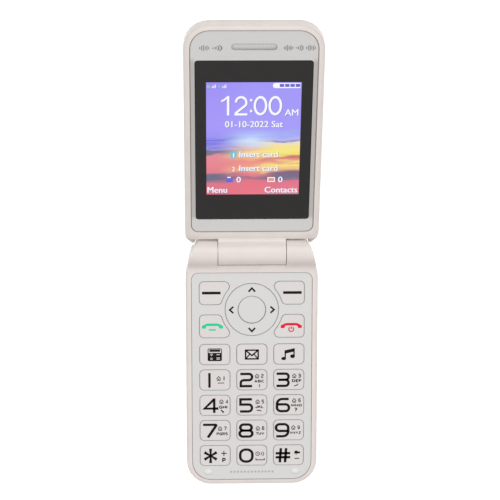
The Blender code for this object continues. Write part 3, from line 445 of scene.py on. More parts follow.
FINISHES = {
    "pearl_white": (PEARL, 0.12),
    "silver_grey": (PANEL_PAINT, 0.1),
    "keycap": (KEY_PLASTIC, 0.08),
    "window_black": (BLACK_ACRYLIC, 0.1),
    "display": (BLACK_ACRYLIC, 0),
    "silicone": (SILICONE, 0.1),
    "circuit_board": (SOLDER_MASK, 0),
    "steel": (STEEL, 0),
    "dark_plastic": (NYLON, 0),
    "battery_wrap": (WRAP, 0),
    "film": (FILM, 0),
}
for entry in frame["record"]["subparts"]:
    finish, edge_radius = FINISHES[entry["material_slot"]]
    part = frame["nodes"][entry["node"]]
    part.data.materials.clear()
    part.data.materials.append(finish)
    soften(part, 0 if entry["node"] in PLAIN_EDGES else edge_radius * MM)
for painted_part, finish in (("ok_key", PANEL_PAINT), ("lid_panel", SHADED_LID_PAINT)):
    frame["nodes"][painted_part].data.materials[0] = finish
for slot, (finish, _) in FINISHES.items():
    print(slot, "is", finish.name, "with", len(finish.node_tree.nodes), "nodes")

# %% [markdown]
# ## Speaker mesh
# Behind the earpiece slot is a woven steel mesh with about 20 openings in 10 mm. The weave could
# be modelled wire by wire, but it is half a millimetre fine and lies in a slot. Two crossed waves
# paint its light and dark squares instead: the weave's own pattern, with painted highlight on the
# wires and painted shade in the openings. Bump gives each crossing its own small highlight.

# %% Woven steel mesh


def woven_mesh(pitch):
    material, tree, shader = start("woven_steel_mesh", Metallic=0.5, Roughness=0.45)
    where = add(tree, "TexCoord").outputs["Object"]
    turns = math.tau / (20 * pitch)  # a wave node repeats every tau / (20 x scale)
    across = add(tree, "TexWave", {"bands_direction": "X"}, Vector=where, Scale=turns)
    along_y = add(tree, "TexWave", {"bands_direction": "Y"}, Vector=where, Scale=turns)
    fields = {"operation": "MAXIMUM"}
    weave = add(tree, "Math", fields, _0=across.outputs["Fac"], _1=along_y.outputs["Fac"])
    # The weave's pattern, with painted highlight on the wires and painted shade in the openings.
    tint(tree, shader, weave.outputs[0], "#b0aeab", "#e3e2e0", 0.3, 0.9)
    emboss(tree, shader, weave.outputs[0], 0.05 * MM)
    return material


mesh_part = frame["nodes"]["earpiece_grille"]
mesh_part.data.materials[0] = woven_mesh(0.5 * MM)

# %% [markdown]
# ## Printing
# The legends are pad-printed: a silicone pad lays a film of ink, about 0.02 mm thick, on each cap.
# A picture of each key would do, but it would blur when seen close. Each legend is instead a flat
# mesh of its own, a little thicker than a film of ink, that moves with its key. A mark is kept as
# flat points and faces in millimetres until it is laid on its key.

# %% Rounded corners


def smooth_path(corners, closed=False, steps=6):
    """Points through (x, y) or (x, y, radius) corners, each with its own rounding."""
    points = []
    for i, (x, y, *rounding) in enumerate(corners):
        here = Vector((x, y))
        at_end = not closed and i in (0, len(corners) - 1)
        if at_end or not rounding:
            points.append(here)
            continue
        radius = rounding[0]
        to_last = (Vector(corners[i - 1][:2]) - here).normalized()
        to_next = (Vector(corners[(i + 1) % len(corners)][:2]) - here).normalized()
        half = to_last.angle(to_next) / 2
        centre = here + (to_last + to_next).normalized() * radius / math.sin(half)
        first = here + to_last * radius / math.tan(half) - centre
        last = here + to_next * radius / math.tan(half) - centre
        from_angle = math.atan2(first.y, first.x)
        turn = math.remainder(math.atan2(last.y, last.x) - from_angle, math.tau)
        for k in range(steps + 1):
            angle = from_angle + turn * k / steps
            points.append(centre + radius * Vector((math.cos(angle), math.sin(angle))))
    return points


# %% Strokes and filled outlines


def line(corners, width, closed=False):
    """A stroke of even width, or with a width for each corner."""
    points = smooth_path(corners, closed)
    widths = width if isinstance(width, list) else [width] * len(points)
    edges, count = [], len(points)
    for i, here in enumerate(points):
        before = points[i - 1] if i or closed else here - (points[1] - here)
        after = points[(i + 1) % count] if i < count - 1 or closed else here + (here - before)
        into, out = (here - before).normalized(), (after - here).normalized()
        across = Vector((-(into + out).y, (into + out).x)).normalized()
        spread = across.dot(Vector((-into.y, into.x)))
        reach = widths[i] / 2 / max(spread, 0.5)
        edges += [here + across * reach, here - across * reach]
    last = count if closed else count - 1
    faces = [
        (2 * i + 1, 2 * ((i + 1) % count) + 1, 2 * ((i + 1) % count), 2 * i) for i in range(last)
    ]
    return edges, faces


def plate(corners):
    """A filled outline through rounded corners, taken anticlockwise."""
    points = smooth_path(corners, closed=True)
    return points, [tuple(range(len(points)))]


def bar(left, low, width, height, radius=0.0):
    right, high = left + width, low + height
    rounding = (radius,) if radius else ()
    outline = [(left, low), (right, low), (right, high), (left, high)]
    return plate([(*corner, *rounding) for corner in outline])


def circle_at(x, y, radius, steps=20):
    angles = [math.tau * i / steps for i in range(steps)]
    return [(x + radius * math.cos(a), y + radius * math.sin(a)) for a in angles]


# %% Joining, stretching and moving marks


def together(*marks):
    """Several marks as one."""
    points, faces = [], []
    for mark_points, mark_faces in marks:
        faces += [tuple(i + len(points) for i in face) for face in mark_faces]
        points += [Vector(point) for point in mark_points]
    return points, faces


def fitted(mark, left, low, width, height):
    """The mark stretched to fill a box."""
    points, faces = mark
    x0, y0 = (min(point[i] for point in points) for i in range(2))
    x1, y1 = (max(point[i] for point in points) for i in range(2))
    across, up = width / (x1 - x0), height / (y1 - y0)
    moved = [Vector((left + (p[0] - x0) * across, low + (p[1] - y0) * up)) for p in points]
    return moved, faces


def shifted(mark, x, y):
    points, faces = mark
    return [Vector((point[0] + x, point[1] + y)) for point in points], faces


# %% Words in the built-in typeface


def lettering(words, left, low, width, height, weight=0.0):
    """Words in the built-in typeface, filling a box. Weight in mm thickens the upright strokes."""
    curve = bpy.data.curves.new("lettering", "FONT")
    curve.body = words
    curve.fill_mode = "FRONT"
    curve.resolution_u = 3
    text = bpy.data.objects.new("lettering", curve)
    mesh = bpy.data.meshes.new_from_object(text)
    points = [Vector(vertex.co[:2]) for vertex in mesh.vertices]
    faces = [tuple(polygon.vertices) for polygon in mesh.polygons]
    bpy.data.objects.remove(text)
    bpy.data.meshes.remove(mesh)
    mark = fitted((points, faces), left, low, width, height)
    return together(*[shifted(mark, side * weight / 2, 0) for side in (-1, 1)]) if weight else mark


# %% Laying marks on a surface
INK_UNDER = -0.01  # mm, so that no gap shows under the ink
INK_OVER = 0.02
INK_STEP = 0.01  # a second ink lies over the first


def lay(shape, mark, look=0, under=INK_UNDER, over=INK_OVER):
    """Gives a flat mark its thickness and adds it to a shape, in metres."""
    points, faces = mark
    levels = [
        [shape.verts.new((x * MM, y * MM, height * MM)) for x, y in points]
        for height in (under, over)
    ]
    used = {}
    for face in faces:
        for i, start_point in enumerate(face):
            pair = (start_point, face[(i + 1) % len(face)])
            used[pair] = used.get(pair[::-1]) is None
            if not used[pair]:
                used[pair[::-1]] = False
    low, high = levels
    rings = [[high[i] for i in face] for face in faces]
    rings += [[low[i] for i in reversed(face)] for face in faces]
    rings += [[low[a], low[b], high[b], high[a]] for (a, b), outer in used.items() if outer]
    for ring in rings:
        shape.faces.new(ring).material_index = look


def piece(name, shape, looks, place, body):
    """Makes a shape into a piece of the object that rides on a body."""
    bmesh.ops.recalc_face_normals(shape, faces=shape.faces)
    mesh = bpy.data.meshes.new(name)
    shape.to_mesh(mesh)
    shape.free()
    for look in looks:
        mesh.materials.append(look)
    made = bpy.data.objects.new(name, mesh)
    bpy.context.scene.collection.objects.link(made)
    made.matrix_world = place
    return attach(made, body)


def printed(name, marks, looks, place, body):
    """One printed piece from (mark, which ink) pairs."""
    shape = bmesh.new()
    for mark, look in marks:
        lay(shape, mark, look, over=INK_OVER + look * INK_STEP)
    return piece(name, shape, looks, place, body)


# %% [markdown]
# ## Inks
# The legends are near-black, with green and red for the two call keys and a pale grey for the
# small marks on the panels. Pad-printing ink dries satin, with a faint mottle where the pad
# lifted, some 0.5 mm across.

# %% Pad-printing inks


def ink(name, dark, light):
    return moulded(name, dark, light, 0.6, 0.5 * MM, IOR=1.4, Specular_IOR_Level=0.25)


BLACK_INK = ink("pad_printed_black", "#0b0909", "#100e0e")
GREEN_INK = ink("pad_printed_green", "#27cf97", "#30d6a0")
RED_INK = ink("pad_printed_red", "#dd1c33", "#e6253c")
GREY_INK = ink("pad_printed_grey", "#878480", "#908d89")
PALE_INK = ink("pad_printed_pale_grey", "#b9b6b2", "#c0bdb9")

# %% [markdown]
# ## Large numbers
# The numbers are wide, square-shouldered and 6 mm tall, so that they can be read at arm's length.
# A typeface like that isn't built in, and each number is only one or two strokes, so each is given
# as the middle line of its strokes and then stretched to its own width.

# %% Strokes of the numbers
STROKE = 1.0
X, Y, M = 4.6, 5.0, 2.5  # width, height and middle of the strokes' lines
END = STROKE / 2


def round_box(low, high, inset, radius):
    corners = [(inset, low), (X - inset, low), (X - inset, high), (inset, high)]
    return [(*corner, radius) for corner in corners]


SIX = [(X - 0.1, Y), (0, Y, 2.0), (0, 0, 1.5), (X, 0, 1.35), (X, M + 0.3, 1.35), (0, M + 0.3)]
NINE = [(X - x, Y - y, *rounding) for x, y, *rounding in SIX]
FIVE = [(X, Y), (0, Y), (0, M + 0.35), (X, M + 0.35, 1.3), (X, 0, 1.4), (-0.2, 0)]
TWO = [(-0.2, Y), (X, Y, 1.25), (X, M, 1.2), (0, M - 0.1, 1.1), (0, 0), (X, 0)]
OPEN_STROKES = {
    "1": [[(0, -END), (0, Y + END)]],
    "2": [TWO],
    "3": [
        [(-0.2, Y), (X, Y, 1.2), (X, M, 1.2), (0.5, M)],
        [(0.5, M), (X, M, 1.2), (X, 0, 1.25), (-0.2, 0)],
    ],
    "4": [[(3.85, -END), (3.85, Y + END)], [(3.8, Y + 0.1), (0, 1.3), (5.5, 1.3)]],
    "5": [FIVE],
    "6": [SIX],
    "7": [[(-0.2, Y), (X, Y, 0.3), (1.5, -END)]],
    "9": [NINE],
    "#": [
        [(1.1, -END), (1.5, Y + END)],
        [(3.1, -END), (3.5, Y + END)],
        [(-END, 1.65), (X + END, 1.65)],
        [(-END, 3.35), (X + END, 3.35)],
    ],
}
CLOSED_STROKES = {
    "0": [round_box(0, Y, 0, 2.0)],
    "8": [round_box(0, M, 0, 1.22), round_box(M, Y, 0.25, 1.2)],
}


def star():
    """Three crossing strokes, narrower in the middle."""
    arms = []
    for degrees in (90, 30, 150):
        along_arm = Vector((math.cos(math.radians(degrees)), math.sin(math.radians(degrees))))
        centre, reach = Vector((X / 2, M)), 2.4
        ends = [centre - reach * along_arm, centre, centre + reach * along_arm]
        arms.append(line([tuple(end) for end in ends], [1.0, 0.5, 1.0]))
    return together(*arms)


def number(sign, width=STROKE):
    if sign == "*":
        return star()
    strokes = [line(stroke, width) for stroke in OPEN_STROKES.get(sign, [])]
    strokes += [line(stroke, width, closed=True) for stroke in CLOSED_STROKES.get(sign, [])]
    return together(*strokes)


# %% [markdown]
# ## Small legends
# Beside each number are a small house with the number of a saved family contact, and the letters
# for typing. They are one or two millimetres tall and bold, wider than the built-in typeface,
# whose outlines cross when it is thickened. So each letter is given as strokes too, on a grid
# about 4 wide and 6 high.

# %% Letters as strokes
BOWL = [(0, 0), (0, 6), (4, 6, 1.6), (4, 2.7, 1.6), (0, 2.7)]
RING = [(0, 0, 2), (4.4, 0, 2), (4.4, 6, 2), (0, 6, 2), (0, 0, 2), (2.2, 0)]
LETTER_STROKES = {
    "A": [[(0, 0), (2.2, 6), (4.4, 0)], [(0.8, 2), (3.6, 2)]],
    "B": [
        [(0, 0), (0, 6), (3.7, 6, 1.4), (3.7, 3.1, 1.4), (0, 3.1)],
        [(2, 3.1), (4.2, 3.1, 1.5), (4.2, 0, 1.5), (0, 0)],
    ],
    "C": [[(4, 6), (0, 6, 2), (0, 0, 2), (4, 0)]],
    "D": [[(0, 0), (0, 6), (4.2, 6, 2.6), (4.2, 0, 2.6), (0, 0)]],
    "E": [[(4, 6), (0, 6), (0, 0), (4, 0)], [(0, 3), (3.5, 3)]],
    "F": [[(4, 6), (0, 6), (0, 0)], [(0, 3), (3.5, 3)]],
    "G": [[(4, 6), (0, 6, 2), (0, 0, 2), (4, 0), (4, 3), (2.3, 3)]],
    "H": [[(0, 0), (0, 6)], [(4, 0), (4, 6)], [(0, 3), (4, 3)]],
    "I": [[(0, 0), (0, 6)]],
    "J": [[(3.2, 6), (3.2, 0, 1.6), (0, 0, 1.6), (0, 2)]],
    "K": [[(0, 0), (0, 6)], [(4, 6), (0.2, 2.4)], [(1.5, 3.6), (4, 0)]],
    "L": [[(0, 6), (0, 0), (3.6, 0)]],
    "M": [[(0, 0), (0, 6), (2.6, 1.5), (5.2, 6), (5.2, 0)]],
    "N": [[(0, 0), (0, 6), (4, 0), (4, 6)]],
    "O": [RING],
    "P": [BOWL],
    "Q": [RING, [(2.6, 1.9), (4.7, -0.6)]],
    "R": [BOWL, [(1.9, 2.7), (4, 0)]],
    "S": [[(4, 6), (0, 6, 1.5), (0, 3, 1.4), (4, 3, 1.4), (4, 0, 1.5), (0, 0)]],
    "T": [[(0, 6), (4.4, 6)], [(2.2, 6), (2.2, 0)]],
    "U": [[(0, 6), (0, 0, 1.9), (4, 0, 1.9), (4, 6)]],
    "V": [[(0, 6), (2.2, 0), (4.4, 6)]],
    "W": [[(0, 6), (1.5, 0), (3, 6), (4.5, 0), (6, 6)]],
    "X": [[(0, 6), (4.2, 0)], [(0, 0), (4.2, 6)]],
    "Y": [[(0, 6), (2.1, 3), (4.2, 6)], [(2.1, 3), (2.1, 0)]],
    "Z": [[(0, 6), (4, 6), (0, 0), (4, 0)]],
    "?": [[(0, 6), (3.6, 6, 1.6), (3.6, 3, 1.4), (1.8, 3), (1.8, 1.6)], [(1.8, 0.5), (1.8, -0.5)]],
}
LETTER_STROKE = 1.75
LETTER_GAP = 2.5  # between the middle lines of two letters


def capitals(word, left, low, width, height):
    """Capital letters drawn by strokes, filling a box."""
    marks, at = [], 0
    for letter in word:
        strokes = together(*[line(stroke, LETTER_STROKE) for stroke in LETTER_STROKES[letter]])
        leftmost = min(point[0] for point in strokes[0])
        marks.append(shifted(strokes, at - leftmost, 0))
        at += max(point[0] for point in strokes[0]) - leftmost + LETTER_GAP - LETTER_STROKE
    return fitted(together(*marks), left, low, width, height)


# %% House, clock and bell


def house(left, low, size):
    walls = line([(0.2, 0.75), (0.2, 0), (1.2, 0), (1.2, 0.75)], 0.2)
    roof = line([(0, 0.65), (0.7, 1.4), (1.4, 0.65)], 0.24)
    door = bar(0.53, 0.05, 0.34, 0.55)
    return fitted(together(walls, roof, door), left, low, size, size)


def clock(left, low, size):
    face = line(circle_at(0, 0, 1.0), 0.32, closed=True)
    hands = line([(0, 0.55), (0, 0), (0.4, -0.3)], 0.3)
    return fitted(together(face, hands), left, low, size, size)


def bell(left, low, size):
    dome = plate([(-1, 0), (1, 0), (0.7, 1.5, 0.6), (-0.7, 1.5, 0.6)])
    clapper = plate(circle_at(0, -0.35, 0.28, 8))
    return fitted(together(dome, clapper), left, low, size, size)


# %% What each number key carries, and where
LEFT_AND_WIDTH = {  # mm from the key's middle to the number's left side, and its width
    "1": (-2.75, 1.0), "2": (-5.1, 5.7), "3": (-5.1, 5.5), "4": (-5.3, 6.7), "5": (-5.25, 5.8),
    "6": (-5.4, 6.05), "7": (-5.0, 6.0), "8": (-5.65, 6.4), "9": (-5.8, 6.2), "*": (-4.8, 5.75),
    "0": (-5.4, 6.15), "#": (-5.35, 6.1),
}
LETTERS = {  # left side, middle height and width of the letters on each key
    "2": ("ABC", 1.0, -0.45, 3.95), "3": ("DEF", 1.3, -0.45, 3.9), "4": ("GHI", 1.7, -0.65, 3.4),
    "5": ("JKL", 1.4, -0.7, 3.35), "6": ("MNO", 1.0, -0.1, 4.45), "7": ("PQRS", 0.6, -1.35, 4.65),
    "8": ("TUV", 1.8, -1.35, 3.3), "9": ("WXYZ", 0.55, -1.1, 4.7),
}
HOUSE_AT = {  # left side and middle height of the house on each key
    "1": (0.6, 0.8), "2": (1.15, 1.7), "3": (1.3, 1.7), "4": (1.7, 1.75), "5": (1.4, 1.6),
    "6": (1.3, 2.0), "7": (1.1, 1.0), "8": (1.5, 1.0), "9": (1.0, 1.2),
}
NUMBER_HEIGHT = 6.25
LETTER_HEIGHT = 1.3
HOUSE_SIZE = 1.95
FIGURE_HEIGHT = 1.65
FIGURE_STEP = 2.65  # from the house's left side to the small figure's
FIGURE_WIDTH = 1.05
FIGURE_STROKE = 1.35  # before the figure is made small
ONE_WIDTH = 0.42


def family_contact(sign):
    """A house, and the number of the contact."""
    left, height = HOUSE_AT[sign]
    width = ONE_WIDTH if sign == "1" else FIGURE_WIDTH
    figure_left = left + FIGURE_STEP + (FIGURE_WIDTH - width) / 2
    figure_low = height - FIGURE_HEIGHT / 2
    figure = fitted(number(sign, FIGURE_STROKE), figure_left, figure_low, width, FIGURE_HEIGHT)
    return [house(left, height - HOUSE_SIZE / 2, HOUSE_SIZE), figure]


EXTRAS = {  # small marks below the letters, or beside the star, nought and hash
    "1": [bar(1.2, -1.35, 2.6, 0.32)],
    "2": [bar(3.0, -3.1, 0.32, 1.3)],
    "3": [line([(2.2, -2.75), (3.3, -2.35), (3.9, -1.75)], 0.36)],
    "4": [line([(2.4, -1.8), (3.6, -3.0)], [0.35, 0.75])],
    "5": [line([(2.0, -2.15), (3.2, -2.15), (3.9, -2.55)], 0.4)],
    "6": [capitals("?", 2.5, -2.9, 1.2, 1.75)],
    "*": [
        bar(2.5, 0.85, 2.25, 0.4),
        bar(3.42, -0.1, 0.4, 2.25),
        capitals("P", 2.9, -2.7, 1.5, 1.8),
    ],
    "0": [
        clock(1.5, -0.15, 1.85),
        line([(3.8, 0.15), (4.1, 0.75), (3.8, 1.35)], 0.3),
        line([(4.55, -0.15), (5.0, 0.75), (4.55, 1.65)], 0.3),
        line([(1.7, -1.2), (1.7, -1.9), (5.2, -1.9), (5.2, -1.2)], 0.36),
    ],
    "#": [bell(2.35, 0.2, 1.75), bar(4.0, 0.75, 0.85, 0.8), bar(2.5, -1.6, 2.0, 0.4, 0.18)],
}


def number_key(sign):
    """Marks of one number key, about the key's middle."""
    left, width = LEFT_AND_WIDTH[sign]
    marks = [fitted(number(sign), left, -NUMBER_HEIGHT / 2, width, NUMBER_HEIGHT)]
    if sign in HOUSE_AT:
        marks += family_contact(sign)
    if sign in LETTERS:
        words, start_x, height, wide = LETTERS[sign]
        low = height - LETTER_HEIGHT / 2
        marks.append(capitals(words, start_x, low, wide, LETTER_HEIGHT))
    return marks + EXTRAS.get(sign, [])


# %% [markdown]
# ## Signs on the other keys
# The soft keys have a dash, the ring has a chevron on each side, and the call keys have a handset
# in green and in red. A handset is one outline, a low arch that ends in two pads. The calculator,
# the envelope and the notes are 5 to 6 mm wide and built from bars, strokes and plates.

# %% Handset, power sign and chevron


HANDSET_HEIGHT = 2.2


def handset(x, y):
    """A low arch with a pad at each end, about its middle."""
    top, pad_outside, pad_low = (-2.2, 2.2, 1.2), (-4.35, 1.2, 0.5), (-4.35, 0.1, 0.25)
    half = [top, pad_outside, pad_low, (-2.95, 0.0, 0.25), (-2.4, 1.15, 0.5)]
    other_half = [(-across, up, rounding) for across, up, rounding in reversed(half)]
    return shifted(plate(half + other_half), x, y - HANDSET_HEIGHT / 2)


def power_sign(x, y, radius):
    """A ring with a gap at its top, and a stroke down through the gap."""
    gap, stroke, steps = math.radians(40), 0.46, 16
    turned = [math.pi / 2 + gap + (math.tau - 2 * gap) * i / steps for i in range(steps + 1)]
    ring = line([(x + radius * math.cos(a), y + radius * math.sin(a)) for a in turned], stroke)
    return together(ring, bar(x - stroke / 2, y, stroke, radius + 0.2))


CHEVRON_OUT = 8.3  # mm from the ring's middle


def chevron(degrees):
    """A chevron that points away from the ring's middle, at this angle from its upper side."""
    turn = Matrix.Rotation(math.radians(degrees), 2)
    ends = ((-1.35, CHEVRON_OUT - 0.7), (0, CHEVRON_OUT + 0.8), (1.35, CHEVRON_OUT - 0.7))
    return line([tuple(turn @ Vector(end)) for end in ends], 0.7)


# %% Calculator, envelope and notes


def calculator():
    """A case with a readout and a block of dark keys, and the signs on the keys."""
    corners = [(-2.75, -2.5, 0.4), (2.75, -2.5, 0.4), (2.75, 2.5, 0.4), (-2.75, 2.5, 0.4)]
    case = together(line(corners, 0.35, closed=True), bar(-2.2, 1.25, 4.4, 0.95))
    keys = bar(-2.75, -2.5, 5.5, 3.3, 0.3)
    return [(case, 0), (keys, 0), (calculator_signs(), 1)]


def calculator_signs():
    """Plus, minus, times and equals, in the cap's own tone."""
    plus = together(bar(-1.9, -0.1, 1.1, 0.3), bar(-1.5, -0.5, 0.3, 1.1))
    times = [line([(-1.75, y), (-1.0, -3.35 - y)], 0.3) for y in (-1.3, -2.05)]
    minus_and_equals = [bar(0.7, y, 1.4, 0.3) for y in (-0.1, -1.45, -2.0)]
    return together(plus, *times, *minus_and_equals)


def envelope():
    """A frame with a flap and two folds."""
    half_w, half_h, thick = 2.6, 1.85, 0.62
    corners = [(-half_w, -half_h), (half_w, -half_h), (half_w, half_h), (-half_w, half_h)]
    flap = line([(-half_w, half_h), (0, -0.45), (half_w, half_h)], thick)
    folds = [line([(side * half_w, -half_h), (side * 0.8, 0.2)], 0.5) for side in (-1, 1)]
    return together(line(corners, thick, closed=True), flap, *folds)


def notes():
    """Two notes, the second higher, under a slanting beam."""
    heads = [
        fitted(plate(circle_at(0, 0, 1)), x, y, 2.0, height)
        for x, y, height in ((-3.15, -2.5, 1.4), (0.5, -1.65, 1.6))
    ]
    stems = [bar(-1.8, -1.8, 0.55, 3.3), bar(1.85, -0.8, 0.55, 3.1)]
    beam = plate([(-1.8, 0.25), (2.4, 1.15), (2.4, 2.6), (-1.8, 1.65)])
    return together(*heads, *stems, beam)


# %% Print every key
NUMBER_KEYS = {f"key_{n}": str(n) for n in range(10)} | {"key_star": "*", "key_hash": "#"}
ring_middle = middle("ok_key") / MM


def on_top(node, x=None, y=None):
    """A place on a key's top, above a point given in mm or above its middle."""
    centre = middle(node)
    across = centre.x if x is None else x * MM
    along = centre.y if y is None else y * MM
    return Matrix.Translation((across, along, extent(node)[1].z))


for key, sign in NUMBER_KEYS.items():
    marks = [(mark, 0) for mark in number_key(sign)]
    printed(f"{key}_legend", marks, [BLACK_INK], on_top(key), key)

first_row = (
    ("calculator", calculator(), [BLACK_INK, KEY_PLASTIC]),
    ("message", [(envelope(), 0)], [BLACK_INK]),
    ("music", [(notes(), 0)], [BLACK_INK]),
)
for purpose, marks, looks in first_row:
    key = f"{purpose}_key"
    printed(f"{purpose}_legend", marks, looks, on_top(key), key)

SOFT_DASH_X, SOFT_DASH_Y = 16.6, 7.15  # mm from the ring's middle
CALL_X, CALL_Y = 16.2, -6.75
dash = bar(-3.8, -0.56, 7.6, 1.12, 0.1)
call_sign = together(handset(-CALL_X, CALL_Y), bar(-CALL_X - 1.4, CALL_Y - 1.9, 2.8, 0.62, 0.1))
end_sign = together(handset(CALL_X, CALL_Y), power_sign(CALL_X, CALL_Y - 1.5, 1.0))
round_the_ring = (
    ("soft_key_left", "soft_key_left_legend", shifted(dash, -SOFT_DASH_X, SOFT_DASH_Y), BLACK_INK),
    ("soft_key_right", "soft_key_right_legend", shifted(dash, SOFT_DASH_X, SOFT_DASH_Y), BLACK_INK),
    ("call_key", "call_legend", call_sign, GREEN_INK),
    ("end_key", "end_legend", end_sign, RED_INK),
)
for key, legend, mark, colour in round_the_ring:
    printed(legend, [(mark, 0)], [colour], on_top(key, 0, ring_middle.y), key)

chevrons = [(chevron(degrees), 0) for degrees in (0, 90, 180, 270)]
printed("ring_legend", chevrons, [BLACK_INK], on_top("nav_ring", 0, ring_middle.y), "ring")
print("legends on", len(NUMBER_KEYS) + 8, "keys")

# %% [markdown]
# ## Marks on the panels
# The real panels carry words beside the earpiece and below the keys. They are replaced here by
# plain signs of the same size and tone: sound waves and level bars on each side of the earpiece,
# and a row of dots at the foot of the keypad. A thin steel line runs round the earpiece slot.

# %% Sound signs, slot rim and dots
SIGN_HEIGHT = 2.5
SIGN_STROKE = 0.34
RIM_STROKE = 0.34


def level_bars(left, width):
    """Upright bars whose height rises and falls."""
    heights = (0.4, 0.75, 1.0, 0.6, 0.85, 0.45)
    step = (width - SIGN_STROKE) / (len(heights) - 1)
    bars = [
        bar(left + i * step, -share * SIGN_HEIGHT / 2, SIGN_STROKE, share * SIGN_HEIGHT, 0.15)
        for i, share in enumerate(heights)
    ]
    return together(*bars)


def sound_waves(left, width):
    """A dot and three arcs that spread from it."""
    waves = [plate(circle_at(0.25, 0, 0.35, 10))]
    for reach in (1.1, 1.9, 2.7):
        angles = [math.radians(degrees) for degrees in range(-45, 46, 10)]
        arc = [(reach * math.cos(angle), reach * math.sin(angle)) for angle in angles]
        waves.append(line(arc, 0.4))
    return fitted(together(*waves), left, -SIGN_HEIGHT / 2, width, SIGN_HEIGHT)


panel_top = extent("lid_panel", LID_PLACE)[1].z
slot_low, slot_high = extent("earpiece_grille", LID_PLACE)
slot_middle = (slot_low + slot_high) / 2
SIGN_DROP = 0.45  # mm from the slot's middle down to the signs'
SIGNS = (  # left side and width of each sign, from the slot's middle
    (level_bars, -20.85, 3.75), (sound_waves, -16.1, 4.0),
    (level_bars, 11.15, 3.5), (sound_waves, 15.65, 3.0), (level_bars, 19.65, 3.6),
)
sign_place = LID_PLACE @ Matrix.Translation((0, slot_middle.y - SIGN_DROP * MM, panel_top))
sound_signs = [(draw(left, width), 0) for draw, left, width in SIGNS]
printed("lid_sound_signs", sound_signs, [GREY_INK], sign_place, "lid")

slot_half = (slot_high - slot_low) / 2 / MM
slot_corners = [(x * slot_half.x, y * slot_half.y) for x, y in ((-1, -1), (1, -1), (1, 1), (-1, 1))]
slot_outline = [(*corner, slot_half.y - 0.01) for corner in slot_corners]
slot_place = LID_PLACE @ Matrix.Translation((0, slot_middle.y, panel_top))
slot_rim = [(line(slot_outline, RIM_STROKE, closed=True), 0)]
printed("earpiece_rim", slot_rim, [STEEL], slot_place, "lid")

DOTS_BELOW_KEYS = 7.2
DOT_PITCH, DOT_R = 1.45, 0.5
DOTS_PER_SIDE = 6
foot_y = middle("key_0").y / MM - DOTS_BELOW_KEYS
dots = [
    (plate(circle_at(i * DOT_PITCH, 0, DOT_R, 12)), 0)
    for i in range(-DOTS_PER_SIDE, DOTS_PER_SIDE + 1)
]
printed("keypad_dots", dots, [PALE_INK], on_top("keypad_panel", 0, foot_y), "base")
print(len(sound_signs), "signs beside the earpiece,", len(dots), "dots below the keys")

# %% [markdown]
# ## Bumpers
# Two soft pads at the keypad's foot keep the closed lid off the keys. In the frame each is a peg
# in a hole with a gap round it. A real pad is stuck on and its edge hides its seat, so each peg
# is replaced by a low dome with a foot a little wider than the hole.

# %% Domed silicone pads
PAD_PROFILE = (  # mm out from the peg, and up from the panel
    (0.35, -0.1), (0.35, 0.02), (0.1, 0.3), (-0.2, 0.55), (-0.5, 0.75), (-0.8, 0.88),
)
PAD_CORNER = 0.98


def domed_pad(name, node):
    low, high = (corner / MM for corner in extent(node))
    half_x, half_y = (high.x - low.x) / 2, (high.y - low.y) / 2
    panel_z = extent("keypad_panel")[1].z / MM
    shape = bmesh.new()
    rings = []
    for out, up in PAD_PROFILE:
        x, y, radius = half_x + out, half_y + out, PAD_CORNER + out
        corners = [(-x, -y, radius), (x, -y, radius), (x, y, radius), (-x, y, radius)]
        outline = smooth_path(corners, closed=True)
        rings.append([shape.verts.new((p.x * MM, p.y * MM, up * MM)) for p in outline])
    for lower, upper in zip(rings, rings[1:]):
        for i in range(len(lower)):
            j = (i + 1) % len(lower)
            shape.faces.new((lower[i], lower[j], upper[j], upper[i]))
    shape.faces.new(rings[-1])
    shape.faces.new(rings[0][::-1])
    for face in shape.faces:
        face.smooth = len(face.verts) == 4
    centre = middle(node)
    place = Matrix.Translation((centre.x, centre.y, panel_z * MM))
    pad = piece(name, shape, [PAD_SILICONE], place, "base")
    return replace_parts(pad, node)


PAD_SILICONE = moulded("clear_silicone", "#e9e8e6", "#eeedeb", 0.6, 0.5 * MM, IOR=1.41)
for side in ("left", "right"):
    domed_pad(f"bumper_pad_{side}", f"bumper_{side}")
print("two pads,", PAD_PROFILE[-1][1], "mm high")

# %% [markdown]
# ## Camera lens and battery cover
# The back isn't seen in use, but it is held in the hand. The lens is a coated glass disc in a
# turned steel ring, so it gets a ring, a dark aperture and a violet sheen. The battery cover has
# a patch of fine ribs for the thumb. They are drawn as lines, because ribs that stand out would
# lift the telephone off the table.

# %% Lens and thumb ribs


def lens_glass():
    material, tree, shader = start("coated_lens_glass", Roughness=0.05, IOR=1.52, Coat_Weight=0.6)
    tint(tree, shader, speckle(tree, 2 * MM), "#1d1733", "#2a2148")
    return material


def facing_away(place, x, y, z):
    """A place on a back, turned so that marks face outwards from it."""
    return place @ Matrix.Translation((x, y, z)) @ Matrix.Rotation(math.pi, 4, "Y")


cover_back = extent("lid_outer_cover", LID_PLACE)[0].z
lens_low, lens_high = extent("lid_camera", LID_PLACE)
LENS_R = 3.0
lens_marks = [
    (plate(circle_at(0, 0, LENS_R - 0.05, 32)), 0),
    (line(circle_at(0, 0, 2.2, 32), 0.3, closed=True), 1),
    (plate(circle_at(0, 0, 1.3, 24)), 2),
]
lens_y = (lens_low.y + lens_high.y) / 2
lens_place = facing_away(LID_PLACE, 0, lens_y, lens_low.z)
printed("lens_glass", lens_marks, [BLACK_ACRYLIC, NYLON, lens_glass()], lens_place, "lid")
ring_shape = bmesh.new()
lay(ring_shape, line(circle_at(0, 0, LENS_R + 0.3, 40), 0.55, closed=True), under=-0.1, over=0.2)
piece("lens_ring", ring_shape, [STEEL], facing_away(LID_PLACE, 0, lens_y, cover_back), "lid")

